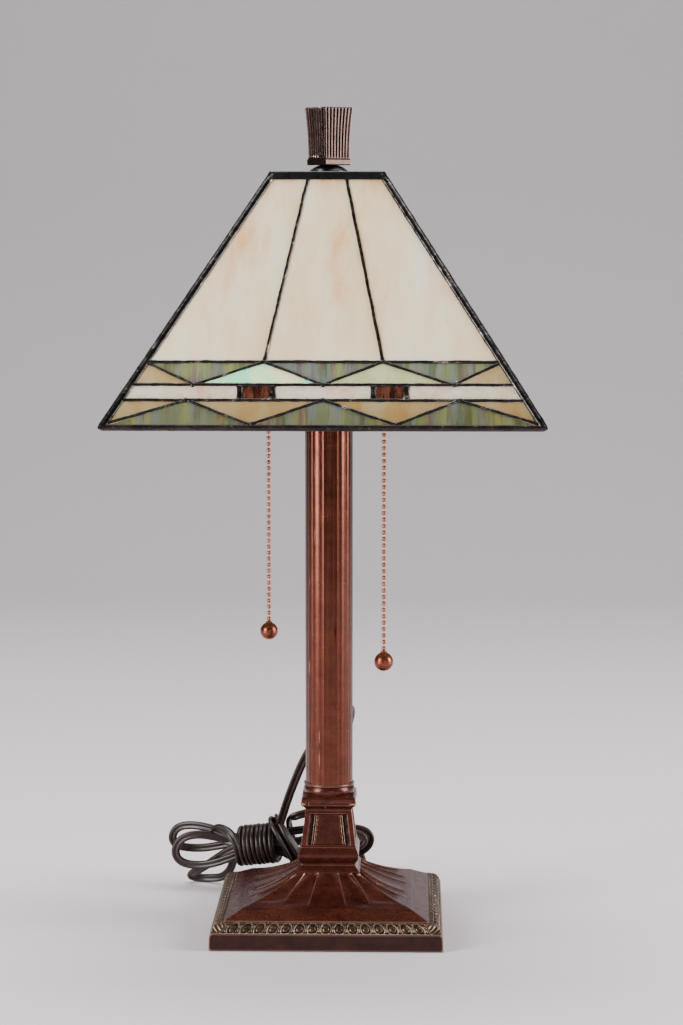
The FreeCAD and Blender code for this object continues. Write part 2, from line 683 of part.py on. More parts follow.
def side_turned(shape, side):
    placed = shape.copy()
    placed.rotate(V(), UP, SIDES[side])
    return placed


def prism(corners, low, high):
    """A flat piece on the front face, between two depths below the outer face."""
    points = [V(x, y, -high) for x, y in corners]
    face = Part.Face(Part.makePolygon(points + points[:1]))
    return moved(face.extrude(V(0, 0, high - low)), FACE)


def front_sector():
    reach = 2 * SHADE_RIM_HALF
    corners = [V(0, 0, 0), V(-reach, -reach, 0), V(reach, -reach, 0), V(0, 0, 0)]
    return Part.Face(Part.makePolygon(corners)).extrude(V(0, 0, 2 * SHADE_TOP))


def inset(corners, margins):
    """Moves each edge of a convex polygon inwards by its own margin. Edge i starts at corner i."""
    count = len(corners)
    area = sum(corners[i - 1][0] * corners[i][1] - corners[i][0] * corners[i - 1][1] for i in range(count))
    sign = 1 if area > 0 else -1
    lines = []
    for i in range(count):
        (x0, y0), (x1, y1) = corners[i], corners[(i + 1) % count]
        length = math.hypot(x1 - x0, y1 - y0)
        nx, ny = -sign * (y1 - y0) / length, sign * (x1 - x0) / length
        lines.append((nx, ny, nx * x0 + ny * y0 + margins[i]))
    result = []
    for i in range(count):
        a, b = lines[i - 1], lines[i]
        det = a[0] * b[1] - a[1] * b[0]
        result.append(((a[2] * b[1] - a[1] * b[2]) / det, (a[0] * b[2] - a[2] * b[0]) / det))
    return result


def glass_corners(places):
    """A glass piece between seam lines. Each place is (share of the half-width, distance down the slope)."""
    corners = [(share * half_at(down), down) for share, down in places]
    margins = []
    for i in range(len(places)):
        first, second = places[i], places[(i + 1) % len(places)]
        on_corner = abs(first[0]) == 1 and first[0] == second[0]
        margins.append(CORNER_SEAM if on_corner else SEAM_HALF)
    return inset(corners, margins)


def glass_layout():
    """The glass of one side: kind of glass and outline of each of its pieces."""
    top = -SEAM_HALF + 0.8
    line1, line2, line3 = [down_slope(height) for height in ROW_HEIGHTS]
    rim = SLOPE_LENGTH - RIM_WIDTH + SEAM_HALF - 0.6
    third, sixth = 1 / 3, 2 / 3
    pieces = []
    for left, right in ((-1, -third), (-third, third), (third, 1)):
        pieces.append(("cream_panels", [(left, top), (right, top), (right, line1), (left, line1)]))
        middle = 0 if left == -third else math.copysign(sixth, left + right)
        pieces.append(("green_glass", [(left, line1), (right, line1), (middle, line2)]))
        pieces.append(("green_glass", [(left, rim), (right, rim), (middle, line3)]))
    for sign in (-1, 1):
        inner, outer = 0, sign * sixth
        pieces.append(("iridescent_glass", [(sign * third, line1), (inner, line2), (outer, line2)]))
        pieces.append(("caramel_glass", [(sign * third, rim), (inner, line3), (outer, line3)]))
        pieces.append(("caramel_glass", [(sign, line1), (outer, line2), (sign, line2)]))
        pieces.append(("caramel_glass", [(sign, line3), (outer, line3), (sign, rim)]))
    layout = [(kind, glass_corners(places)) for kind, places in pieces]
    return layout + band_layout(line2, line3)


def band_layout(line2, line3):
    centre = half_at(0.5 * (line2 + line3)) / 3
    low, high = line2 + SEAM_HALF, line3 - SEAM_HALF
    edge = ACCENT_HALF + 2 * SEAM_HALF
    pieces = []
    for sign in (-1, 1):
        x0, x1 = sign * centre - ACCENT_HALF, sign * centre + ACCENT_HALF
        pieces.append(("accent_glass", [(x0, low), (x1, low), (x1, high), (x0, high)]))
        ends = [sign * (half_at(down) - CORNER_SEAM / math.cos(math.atan(SLOPE_RUN / SLOPE_LENGTH)))
                for down in (low, high)]
        inner = sign * (centre + edge)
        pieces.append(("band_glass", [(inner, low), (ends[0], low), (ends[1], high), (inner, high)]))
    x0 = centre - edge
    pieces.append(("band_glass", [(-x0, low), (x0, low), (x0, high), (-x0, high)]))
    return pieces


def make_shade():
    layout = glass_layout()
    sector = front_sector()
    wide = SHADE_RIM_HALF + SEAM_THICK
    rim_line = SLOPE_LENGTH - RIM_WIDTH
    plate = prism([(-wide, 0), (wide, 0), (wide, rim_line), (-wide, rim_line)], 0, SEAM_THICK).common(sector)
    for _, corners in layout:
        plate = plate.cut(prism(corners, -1, SEAM_THICK + 1))
    kinds = {}
    for kind, corners in layout:
        kinds.setdefault(kind, []).append(prism(corners, GLASS_RECESS, GLASS_RECESS + GLASS_THICK))
    for side in SIDES:
        export(side + "_seams", side_turned(plate, side))
    for kind, pieces in kinds.items():
        export(kind, *[side_turned(piece, side) for side in SIDES for piece in pieces])
    bar = prism([(-2 * wide, rim_line), (2 * wide, rim_line), (2 * wide, SLOPE_LENGTH), (-2 * wide, SLOPE_LENGTH)],
                -RIM_PROUD, SEAM_THICK + RIM_PROUD).common(sector)
    export("rim_channel", *[side_turned(bar, side) for side in SIDES])


# ---- Cap, check ring and finial ----
def make_top():
    per_height = SLOPE_RUN / SLOPE_DROP
    skirt_half = SHADE_TOP_HALF + (SHADE_TOP - CAP_SKIRT_BOTTOM) * per_height + SNUG
    under_half = skirt_half - (REST_TOP - CAP_SKIRT_BOTTOM) * per_height
    cap = square_solid([
        (skirt_half + CAP_SHEET, CAP_SKIRT_BOTTOM),
        (under_half + CAP_SHEET + 0.3, CAP_TOP - 1.0),
        (under_half - 0.3, CAP_TOP, (under_half + 0.65, CAP_TOP - 0.25)),
    ]).cut(square_solid([(skirt_half, CAP_SKIRT_BOTTOM), (under_half, REST_TOP)]))
    export("vase_cap", cap.cut(Part.makeCylinder(STUD_RADIUS + RUNNING, CAP_TOP, V())))

    dome = (0.72 * CHECK_RING_RADIUS, CAP_TOP + 0.72 * CHECK_RING_HEIGHT)
    export("check_ring", turned([
        (STUD_RADIUS + LOOSE, CAP_TOP),
        (CHECK_RING_RADIUS, CAP_TOP),
        (CHECK_RING_RADIUS, CAP_TOP + 0.8),
        (0.45 * CHECK_RING_RADIUS, RING_TOP, dome),
        (STUD_RADIUS + LOOSE, RING_TOP),
    ]))

    band_top = RING_TOP + FINIAL_BAND_HEIGHT
    finial = square_solid([
        (FINIAL_BAND_HALF, RING_TOP),
        (FINIAL_BAND_HALF, band_top),
        (FINIAL_WAIST_HALF, band_top + 0.7),
        (FINIAL_TOP_HALF, FINIAL_TOP - 1.4, (FINIAL_WAIST_HALF + 0.35, band_top + 0.5 * FINIAL_HEIGHT)),
        (FINIAL_TOP_HALF - 0.8, FINIAL_TOP),
    ])
    finial.rotate(V(), UP, FINIAL_TURN)
    insert_top = RING_TOP + STUD_LENGTH + 2.0
    pocket = Part.makeCylinder(INSERT_RADIUS, insert_top - RING_TOP, V(0, 0, RING_TOP))
    export("finial", finial.cut(pocket))
    export("finial_insert", ring(INSERT_RADIUS - SNUG, STUD_RADIUS + RUNNING, RING_TOP + 0.2, insert_top - SNUG))


# ---- Cord ----
# Points chosen by hand: out of the bushing, up behind the hank, over against the column and down into the tie.
LEAD_ROUTE = [
    (24, 100.3, 6.4), (24, 112.5, 6.4), (21.5, 124, 11), (17.5, 132.5, 20.5), (12.5, 136.5, 34), (8, 135.5, 52),
    (5, 126, 73), (5, 110, 91), (7.5, 93, 107), (11, 77, 123), (14.7, 60, 139.6), (9.2, 39.9, 143.5),
    (-4, 25.5, 131.9), (-17.3, 25, 111.6), (-25, 41, 92), (-31.5, 58, 73), (-40.3, 81.1, 44.4),
]
# Out of the tie, over the bundle, down behind the neck and round to the plug under the hank.
TAIL_ROUTE = [
    (-33, 84, 50.5), (-21, 87, 57), (-6, 93, 58.5), (7, 98, 50), (12, 100.5, 34), (9, 100.5, 18.5), (-1, 97, 8.6),
    (-11, 92.6, 6.2), (-22, 92, 6),
]


def cord_path(route):
    """Straight runs joined by tangent arcs, each as large as its two runs allow."""
    points = [V(*point) for point in route]
    edges = []
    radii = []
    start = points[0]
    for before, corner, after in zip(points, points[1:], points[2:]):
        arriving, leaving = corner - before, after - corner
        cut = CORD_BEND * min(arriving.Length, leaving.Length)
        turn = arriving.getAngle(leaving)
        radius = cut / math.tan(turn / 2)
        radii.append(radius)
        arriving.normalize()
        leaving.normalize()
        enter, leave = corner - arriving * cut, corner + leaving * cut
        inward = leaving - arriving
        inward.normalize()
        middle = corner + inward * (radius / math.cos(turn / 2) - radius)
        edges.append(Part.LineSegment(start, enter).toShape())
        edges.append(Part.Arc(enter, middle, leave).toShape())
        start = leave
    edges.append(Part.LineSegment(start, points[-1]).toShape())
    return Part.Wire(edges), radii


def make_cord_tube(name, route, radius=CORD_WIDTH / 2):
    path, radii = cord_path(route)
    tube = tube_along(path, radius)
    expected = math.pi * radius ** 2 * path.Length
    print(name, "length", round(path.Length, 1), "volume ratio", round(tube.Volume / expected, 4),
          "radii", [round(r, 1) for r in radii])
    export(name, tube)


def make_bushing():
    """A rubber bushing in the back wall with a tapered strain relief."""
    y_wall = BASE_HALF
    inner = y_wall - BASE_WALL
    nose = y_wall + 2.0 + BUSHING_NOSE
    bore = WIRE_RADIUS + SNUG
    outline = [
        (bore, inner - 3.6), (BUSHING_FLANGE_RADIUS, inner - 3.6), (BUSHING_FLANGE_RADIUS, inner - 2.0),
        (BUSHING_NECK_RADIUS, inner - 2.0), (BUSHING_NECK_RADIUS, y_wall + 0.2),
        (BUSHING_FLANGE_RADIUS, y_wall + 0.2), (BUSHING_FLANGE_RADIUS, y_wall + 2.0),
        (CORD_WIDTH / 2 + 0.5, nose), (bore, nose),
    ]
    bushing = turned(outline)
    bushing.rotate(V(), V(1, 0, 0), -90)
    bushing.translate(V(EXIT_X, 0, CORD_HEIGHT))
    export("cord_bushing", bushing)
    return nose


def make_supply_wire(nose):
    bend = 5.5
    start = V(EXIT_X, nose, CORD_HEIGHT)
    turn_start = V(0, bend, CORD_HEIGHT)
    turn_end = V(0, 0, CORD_HEIGHT + bend)
    middle = V(0, bend - bend * math.sin(math.pi / 4), CORD_HEIGHT + bend - bend * math.cos(math.pi / 4))
    straight = V(EXIT_X, BASE_HALF - 26.0, CORD_HEIGHT)
    knee = V(0, straight.y - 30, CORD_HEIGHT)
    path, _ = cord_path([tuple(start), tuple(straight), tuple(knee), tuple(turn_start)])
    edges = list(path.Edges)
    edges.append(Part.Arc(turn_start, middle, turn_end).toShape())
    edges.append(Part.LineSegment(turn_end, V(0, 0, CLUSTER_BOTTOM + CLUSTER_WALL + NUT_THICK + 4.0)).toShape())
    export("supply_wire", tube_along(Part.Wire(edges), WIRE_RADIUS))


def tilted_block(centre, size, heading, pitch, fillet):
    """A rounded block about its own centre, turned about Z by heading and tipped by pitch."""
    x, y, z = size
    solid = block(-x / 2, x / 2, -y / 2, y / 2, -z / 2, z / 2)
    solid = solid.makeFillet(fillet, solid.Edges)
    rotation = FreeCAD.Rotation(UP, heading).multiply(FreeCAD.Rotation(V(0, 1, 0), pitch))
    return moved(solid, FreeCAD.Placement(V(*centre), rotation))


def make_hank():
    """The tied hank: a fan of loops on the left, the tight wraps in the middle and the loop ends on the right."""
    fan = tilted_block((-95, 100, 24.6), (52, 24, 46), -18, -4, 9)
    wraps = rod(14.0, V(-72, 91.5, 31.5), V(-34, 84, 37))
    ends = tilted_block((-4, 82, 40), (64, 17, 20), 0, -2, 7)
    export("cord_hank", fan.fuse(wraps).fuse(ends).removeSplitter())


def make_plug():
    """A two-blade plug moulded on the end of the cord, lying on the table."""
    before, end = V(*TAIL_ROUTE[-2]), V(*TAIL_ROUTE[-1])
    angle = math.degrees(math.atan2(end.y - before.y, end.x - before.x))
    neck = Part.makeCone(0.72 * PLUG_THICK / 2, 0.96 * PLUG_THICK / 2, PLUG_NECK + 1.0, V(), V(1, 0, 0))
    body_end = PLUG_NECK + PLUG_LENGTH
    body = block(PLUG_NECK, body_end, -PLUG_WIDTH / 2, PLUG_WIDTH / 2, -PLUG_THICK / 2, PLUG_THICK / 2)
    body = body.makeFillet(3, [e for e in body.Edges if e.BoundBox.XLength > 0.9 * PLUG_LENGTH])
    body = body.fuse(neck).removeSplitter()
    blade_y = (BLADE_SPACING - BLADE_THICK) / 2
    blade = block(body_end, body_end + BLADE_LENGTH, blade_y, blade_y + BLADE_THICK, -BLADE_WIDTH / 2, BLADE_WIDTH / 2)
    other = blade.mirror(V(), V(0, 1, 0))
    blades = [blade, other]
    place = FreeCAD.Placement(end, FreeCAD.Rotation(UP, angle))
    export("plug_body", moved(body, place))
    export("plug_blades", *[moved(blade, place) for blade in blades])


def main():
    os.makedirs("parts", exist_ok=True)
    make_base()
    make_neck()
    make_column()
    make_cluster()
    make_socket_shells()
    make_pull_mouths()
    for side in SOCKET_AZIMUTH:
        make_switch(side)
        make_bulb(side)
    make_shade()
    make_top()
    nose = make_bushing()
    make_supply_wire(nose)
    make_cord_tube("cord_lead", LEAD_ROUTE)
    make_cord_tube("cord_tail", TAIL_ROUTE)
    make_hank()
    make_plug()


main()
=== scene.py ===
import math

import bmesh
import bpy
import numpy as np
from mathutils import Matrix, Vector, noise


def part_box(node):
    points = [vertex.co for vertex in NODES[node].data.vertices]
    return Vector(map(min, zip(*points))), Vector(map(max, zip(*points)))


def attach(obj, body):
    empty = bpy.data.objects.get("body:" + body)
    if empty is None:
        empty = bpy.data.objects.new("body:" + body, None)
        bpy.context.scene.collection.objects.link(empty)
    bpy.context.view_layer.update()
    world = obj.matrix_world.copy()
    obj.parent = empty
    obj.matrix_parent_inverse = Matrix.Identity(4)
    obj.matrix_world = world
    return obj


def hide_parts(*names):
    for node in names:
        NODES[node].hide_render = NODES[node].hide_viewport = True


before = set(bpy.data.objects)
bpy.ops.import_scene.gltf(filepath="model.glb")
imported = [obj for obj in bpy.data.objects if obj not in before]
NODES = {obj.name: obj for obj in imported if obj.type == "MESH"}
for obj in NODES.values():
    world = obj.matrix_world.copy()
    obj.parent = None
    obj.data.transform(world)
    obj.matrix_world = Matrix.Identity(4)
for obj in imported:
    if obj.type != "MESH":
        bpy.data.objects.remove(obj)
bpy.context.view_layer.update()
SCENE = bpy.context.scene
MM = 0.001
rng = np.random.default_rng(11)


# ---- Camera ----
CAMERA_LENS, SENSOR_WIDTH = 96.585, 36.0  # in millimetres
CAMERA_PLACE = (0.0562, -1.8627, 0.4917)
CAMERA_DOWN, CAMERA_LEFT = 0.1102, 0.0256  # how far it looks down and to the left, in radians


def make_camera():
    data = bpy.data.cameras.new("camera")
    data.lens = CAMERA_LENS
    data.sensor_width = SENSOR_WIDTH
    data.clip_end = 50.0
    camera = bpy.data.objects.new("camera", data)
    camera.location = CAMERA_PLACE
    camera.rotation_euler = (math.pi / 2 - CAMERA_DOWN, 0.0, CAMERA_LEFT)
    SCENE.collection.objects.link(camera)
    SCENE.camera = camera


make_camera()


# ---- Material helpers ----
LOWER_ROW = (0.165, 0.18)  # how far down the slope the panes' tone changes, in metres
LOWER_TONE = (0.76, 0.72, 0.6)


class Paint:
    """A node material built up step by step. Colours are linear RGB."""

    def __init__(self, name, rough=0.4, metal=0.0, **inputs):
        self.material = bpy.data.materials.new(name)
        self.material.use_nodes = True
        self.tree = self.material.node_tree
        self.shader = self.tree.nodes["Principled BSDF"]
        self.put("Roughness", rough)
        self.put("Metallic", metal)
        for key, value in inputs.items():
            self.put(key.replace("_", " "), value)
        coords = self.node("ShaderNodeTexCoord")
        self.coords = coords.outputs["Object"]
        self.normal = None

    def node(self, kind, **props):
        made = self.tree.nodes.new(kind)
        for key, value in props.items():
            setattr(made, key, value)
        return made

    def link(self, source, target):
        if hasattr(source, "is_output"):
            self.tree.links.new(source, target)
        else:
            target.default_value = source

    def put(self, name, value):
        self.link(value, self.shader.inputs[name])

    def stretched(self, scale):
        mapping = self.node("ShaderNodeMapping")
        self.link(self.coords, mapping.inputs["Vector"])
        mapping.inputs["Scale"].default_value = scale
        return mapping.outputs["Vector"]

    def noise(self, scale, detail=4.0, rough=0.6, stretch=None, distortion=0.0, vector=None):
        made = self.node("ShaderNodeTexNoise")
        self.link(vector or (self.stretched(stretch) if stretch else self.coords), made.inputs["Vector"])
        made.inputs["Scale"].default_value = scale
        made.inputs["Detail"].default_value = detail
        made.inputs["Roughness"].default_value = rough
        made.inputs["Distortion"].default_value = distortion
        return made.outputs["Fac"]

    def span(self, value, low, high, out_low=0.0, out_high=1.0):
        made = self.node("ShaderNodeMapRange")
        self.link(value, made.inputs["Value"])
        for key, number in (("From Min", low), ("From Max", high), ("To Min", out_low), ("To Max", out_high)):
            made.inputs[key].default_value = number
        return made.outputs["Result"]

    def mix(self, share, first, second, blend="MIX"):
        made = self.node("ShaderNodeMix", data_type="RGBA", blend_type=blend)
        self.link(share, made.inputs["Factor"])
        for socket, value in ((made.inputs[6], first), (made.inputs[7], second)):
            self.link((*value, 1.0) if isinstance(value, tuple) else value, socket)
        return made.outputs[2]

    def math(self, kind, first, second):
        made = self.node("ShaderNodeMath", operation=kind)
        self.link(first, made.inputs[0])
        self.link(second, made.inputs[1])
        return made.outputs[0]

    def bump(self, height, distance, strength=1.0):
        made = self.node("ShaderNodeBump")
        made.inputs["Distance"].default_value = distance
        made.inputs["Strength"].default_value = strength
        self.link(height, made.inputs["Height"])
        if self.normal:
            self.link(self.normal, made.inputs["Normal"])
        self.normal = made.outputs["Normal"]
        self.put("Normal", self.normal)

    def edges(self, low, high):
        """1 on convex edges, 0 elsewhere; it marks where edges are scuffed and where a highlight is painted."""
        geometry = self.node("ShaderNodeNewGeometry")
        return self.span(geometry.outputs["Pointiness"], low, high)

    def layer(self, name, output="Fac"):
        """A value kept on the mesh's own points."""
        return self.node("ShaderNodeAttribute", attribute_name=name).outputs[output]


def patina(name, dark, light, worn_and_glint, rough, metal, wear_and_glint_span=(0.52, 0.6), grain=1.0, coat=0.1):
    """A bronze finish: mottled brown, glossy where it was handled, bright on its convex edges as scuffing and painted
    highlight, and darker in its recesses as painted shade over dark patina.
    """
    p = Paint(name, metal=metal, Coat_Weight=coat, Coat_Roughness=0.12, Specular_IOR_Level=0.3)
    mottled = p.noise(95.0, 6.0, 0.65)
    streaks = p.noise(60.0, 5.0, 0.7, stretch=(1.0, 1.0, 7.0))
    colour = p.mix(p.span(mottled, 0.35, 0.65), dark, light)
    colour = p.mix(p.span(streaks, 0.5, 0.75, 0.0, 0.5), colour, tuple(0.45 * c for c in dark))
    # Darker in the recesses: painted shade, over the dark patina such castings hold there.
    colour = p.mix(p.layer("hollow"), colour, tuple(0.2 * c for c in dark))
    # Brighter on convex edges: partly scuffing, partly a painted highlight along ridges, arrises and ribs.
    colour = p.mix(p.edges(*wear_and_glint_span), colour, worn_and_glint)
    p.put("Base Color", colour)
    p.put("Roughness", p.span(p.noise(160.0, 5.0, 0.7), 0.3, 0.75, rough - 0.07, rough + 0.12))
    p.bump(p.noise(420.0, 4.0, 0.6), 0.00012 * grain, 0.5)
    p.bump(p.noise(1500.0, 3.0, 0.6), 0.00005 * grain, 0.4)
    return p.material


def simple(name, dark, light, rough, metal, scale, depth=0.00005, **inputs):
    """A finish with mottled colour, uneven gloss and a fine grain."""
    p = Paint(name, metal=metal, **inputs)
    p.put("Base Color", p.mix(p.span(p.noise(scale, 5.0), 0.3, 0.7), dark, light))
    p.put("Roughness", p.span(p.noise(2.0 * scale, 4.0), 0.3, 0.7, max(0.03, rough - 0.08), rough + 0.08))
    p.bump(p.noise(6.0 * scale, 4.0), depth, 0.6)
    return p.material


def glass_paint(name, base, streaks, stretch, scale=22.0, wisps=None, rough=0.16):
    """Opalescent sheet glass: streaks down the sheet, different on each pane, with a rolled surface."""
    p = Paint(name, Coat_Weight=0.12, Coat_Roughness=0.08, IOR=1.45)
    laid = p.node("ShaderNodeVectorMath", operation="MULTIPLY_ADD")
    p.link(p.layer("sheet", "Vector"), laid.inputs[0])
    laid.inputs[1].default_value = stretch
    offset = p.node("ShaderNodeCombineXYZ")
    for key, factor in (("X", 3.1), ("Y", 7.7), ("Z", 5.3)):
        p.link(p.math("MULTIPLY", p.layer("seed"), factor), offset.inputs[key])
    p.link(offset.outputs[0], laid.inputs[2])
    vector = laid.outputs[0]
    colour = base
    for i, (tint, low, high, share) in enumerate(streaks):
        grain = p.noise(scale * (1.0 + 0.45 * i), 5.0, 0.6, distortion=0.25, vector=vector)
        colour = p.mix(p.span(grain, low, high, 0.0, share), colour, tint)
    if wisps:
        fine = p.noise(scale * 5.0, 6.0, 0.7, distortion=0.4, vector=vector)
        colour = p.mix(p.span(fine, 0.45, 0.7, 0.0, 0.4), colour, wisps)
    place = p.node("ShaderNodeSeparateXYZ")
    p.link(p.layer("sheet", "Vector"), place.inputs[0])
    colour = p.mix(p.span(place.outputs["Y"], *LOWER_ROW), colour, LOWER_TONE, "MULTIPLY")
    p.put("Base Color", colour)
    p.put("Roughness", p.span(p.noise(60.0, 3.0), 0.3, 0.7, rough - 0.05, rough + 0.08))
    p.put("Subsurface Weight", 0.12)
    p.put("Subsurface Radius", (0.004, 0.003, 0.002))
    p.put("Subsurface Scale", 1.0)
    p.bump(p.noise(26.0, 2.0, 0.4), 0.0006, 0.5)
    p.bump(p.noise(210.0, 3.0, 0.5), 0.00008, 0.5)
    return p


BRONZE = patina("bronze", (0.05, 0.0105, 0.0065), (0.095, 0.022, 0.0135), (0.62, 0.38, 0.26), 0.24, 0.5)
BRONZE_DARK = patina("bronze_dark", (0.018, 0.005, 0.0038), (0.042, 0.01, 0.007), (0.45, 0.26, 0.18),
                     0.36, 0.35)
ANTIQUE = patina("antique_brass", (0.055, 0.028, 0.016), (0.12, 0.07, 0.042), (0.62, 0.5, 0.38),
                 0.3, 0.75, (0.515, 0.6), 3.0)
COLUMN = patina("column_copper", (0.085, 0.022, 0.012), (0.12, 0.032, 0.018), (0.3, 0.13, 0.09),
                0.2, 0.8, (0.53, 0.64), 0.15)
FINIAL = patina("finial_bronze", (0.04, 0.02, 0.016), (0.075, 0.042, 0.036), (0.6, 0.45, 0.41),
                0.24, 0.85, (0.53, 0.63), 0.4)
CHAIN = patina("chain_copper", (0.14, 0.035, 0.018), (0.28, 0.08, 0.042), (0.6, 0.3, 0.2),
               0.28, 0.85, (0.52, 0.6), 0.4)
BLACK = simple("black_metal", (0.003, 0.0035, 0.003), (0.008, 0.009, 0.008), 0.32, 0.3, 90.0, Coat_Weight=0.4)
BRASS = simple("socket_brass", (0.48, 0.31, 0.11), (0.66, 0.46, 0.19), 0.27, 1.0, 70.0)
STEEL = simple("zinc_steel", (0.32, 0.32, 0.31), (0.52, 0.52, 0.5), 0.34, 1.0, 90.0)
IRON = simple("cast_iron", (0.02, 0.019, 0.018), (0.06, 0.055, 0.05), 0.68, 0.7, 60.0, depth=0.0003)
CARD = simple("liner_card", (0.2, 0.13, 0.07), (0.34, 0.25, 0.15), 0.78, 0.0, 80.0, depth=0.0001)
PHENOLIC = simple("phenolic", (0.01, 0.009, 0.008), (0.03, 0.026, 0.022), 0.38, 0.0, 60.0)
FELT = simple("felt", (0.008, 0.022, 0.012), (0.03, 0.055, 0.033), 0.95, 0.0, 260.0, depth=0.0006, Sheen_Weight=0.5)
BULB = simple("bulb_glass", (0.8, 0.8, 0.78), (0.9, 0.9, 0.88), 0.28, 0.0, 30.0, Coat_Weight=0.3,
              Subsurface_Weight=0.15)
CORD = simple("cord_vinyl", (0.014, 0.0075, 0.0062), (0.032, 0.018, 0.0155), 0.34, 0.0, 55.0, depth=0.00004,
              Specular_IOR_Level=0.4)
PLUG = simple("plug_vinyl", (0.011, 0.007, 0.006), (0.024, 0.016, 0.014), 0.36, 0.0, 70.0, depth=0.00008)


def solder_paint():
    p = Paint("solder", metal=0.75, Coat_Weight=0.3, Coat_Roughness=0.15)
    dark = p.mix(p.span(p.noise(140.0, 5.0), 0.35, 0.7), (0.006, 0.005, 0.0045), (0.035, 0.028, 0.024))
    # Pale silver on convex bumps: partly solder scuffed through its patina, partly painted glints.
    rubbed_and_glint = p.math("MULTIPLY", p.span(p.noise(70.0, 6.0, 0.75), 0.57, 0.68), p.edges(0.48, 0.54))
    p.put("Base Color", p.mix(rubbed_and_glint, dark, (0.3, 0.26, 0.23)))
    p.put("Roughness", p.span(p.noise(260.0, 4.0), 0.3, 0.7, 0.16, 0.42))
    p.bump(p.noise(230.0, 5.0, 0.7), 0.0003, 0.5)
    return p.material


def rim_paint():
    p = Paint("rim_metal", metal=0.8)
    colour = p.mix(p.span(p.noise(90.0, 5.0), 0.35, 0.7), (0.016, 0.011, 0.011), (0.05, 0.036, 0.034))
    p.put("Base Color", p.mix(p.span(p.noise(400.0, 5.0, 0.8), 0.6, 0.72), colour, (0.3, 0.26, 0.24)))
    p.put("Roughness", p.span(p.noise(200.0, 4.0), 0.3, 0.7, 0.25, 0.5))
    p.bump(p.noise(300.0, 4.0, 0.7), 0.0003, 0.7)
    return p.material


SOLDER = solder_paint()
RIM = rim_paint()
CREAM = glass_paint("cream_glass", (0.88, 0.71, 0.445), [
    ((0.9, 0.81, 0.635), 0.44, 0.62, 0.85), ((0.82, 0.41, 0.14), 0.54, 0.72, 0.85),
    ((0.86, 0.62, 0.33), 0.5, 0.68, 0.6),
], (1.0, 0.28, 1.0), 26.0, (0.92, 0.84, 0.67)).material
BAND = glass_paint("band_glass", (0.68, 0.58, 0.42), [
    ((0.78, 0.7, 0.6), 0.42, 0.6, 0.7), ((0.66, 0.4, 0.24), 0.5, 0.68, 0.8),
], (1.0, 1.0, 1.0), 60.0).material
GREEN = glass_paint("green_glass", (0.155, 0.185, 0.11), [
    ((0.27, 0.29, 0.09), 0.46, 0.6, 0.8), ((0.165, 0.19, 0.22), 0.48, 0.62, 0.9),
    ((0.085, 0.11, 0.04), 0.5, 0.62, 0.85), ((0.165, 0.095, 0.1), 0.51, 0.64, 0.9),
], (1.0, 0.1, 1.0), 70.0).material
CARAMEL = glass_paint("caramel_glass", (0.42, 0.285, 0.125), [
    ((0.46, 0.385, 0.22), 0.42, 0.6, 0.85), ((0.38, 0.2, 0.065), 0.52, 0.7, 0.6),
], (1.0, 0.4, 1.0), 50.0).material
ACCENT = glass_paint("accent_glass", (0.065, 0.018, 0.009), [
    ((0.13, 0.045, 0.025), 0.45, 0.58, 0.9), ((0.015, 0.005, 0.004), 0.5, 0.6, 0.9),
], (1.0, 0.25, 1.0), 260.0, rough=0.12).material


def iridescent_paint():
    """A thin film over pale glass: mint turning to cream on some panes, a pale yellow-green on others."""
    p = glass_paint("iridescent_glass", (0.48, 0.53, 0.25), [((0.62, 0.63, 0.36), 0.4, 0.62, 0.8)],
                    (1.0, 0.5, 1.0), 60.0)
    field = p.noise(34.0, 3.0, 0.5, distortion=0.6, vector=p.layer("sheet", "Vector"))
    tint = p.mix(p.span(field, 0.42, 0.54), (0.36, 1.0, 0.62), (0.8, 1.0, 0.5))
    tint = p.mix(p.span(field, 0.54, 0.66), tint, (0.96, 0.88, 0.6))
    plain = p.shader.inputs["Base Color"].links[0].from_socket
    p.put("Base Color", p.mix(p.span(p.layer("seed"), 0.2, 0.9), plain, tint))
    return p.material


IRIDESCENT = iridescent_paint()


# ---- Mesh helpers ----
def mesh_piece(name, verts, faces, body, nodes, slot, material, sharp, **layers):
    """A mesh given in millimetres in the lamp's own frame, riding on a body and standing for CAD nodes."""
    data = bpy.data.meshes.new(name)
    data.from_pydata((np.asarray(verts, float) * MM).tolist(), [], [list(map(int, f)) for f in faces])
    for key, values in layers.items():
        kind, field = ("FLOAT", "value") if values.ndim == 1 else ("FLOAT_VECTOR", "vector")
        data.attributes.new(key, kind, "POINT").data.foreach_set(field, values.astype(np.float32).ravel())
    work = bmesh.new()
    work.from_mesh(data)
    bmesh.ops.recalc_face_normals(work, faces=work.faces)
    work.to_mesh(data)
    work.free()
    data.polygons.foreach_set("use_smooth", [True] * len(data.polygons))
    data.set_sharp_from_angle(angle=math.radians(sharp))
    data.materials.append(material)
    made = bpy.data.objects.new(name, data)
    SCENE.collection.objects.link(made)
    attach(made, body)
    if nodes:
        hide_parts(*nodes)
    return made


def join_parts(parts):
    """One list of vertices and one of faces from several."""
    verts, faces, start = [], [], 0
    for part_verts, part_faces in parts:
        verts.append(np.asarray(part_verts, float))
        faces.extend([[i + start for i in f] for f in part_faces])
        start += len(part_verts)
    return np.concatenate(verts), faces


def ring_ends(rows, around):
    """The faces that close a tube at its first ring and at its last."""
    return [tuple(range(around)), tuple(range((rows - 1) * around, rows * around))]


def tube_faces(rows, around):
    """The faces of a tube made of rings of points, closed at both ends."""
    faces = []
    for j in range(rows - 1):
        for i in range(around):
            k = (i + 1) % around
            faces.append((j * around + i, j * around + k, (j + 1) * around + k, (j + 1) * around + i))
    return faces + ring_ends(rows, around)


def resample(points, step):
    """Points along a polyline, about step apart, that keep its corners."""
    out = []
    for (a, z), (b, y) in zip(points, points[1:]):
        count = max(1, int(round(math.hypot(b - a, y - z) / step)))
        out += [(a + (b - a) * k / count, z + (y - z) * k / count) for k in range(count)]
    out.append(points[-1])
    return np.array(out)


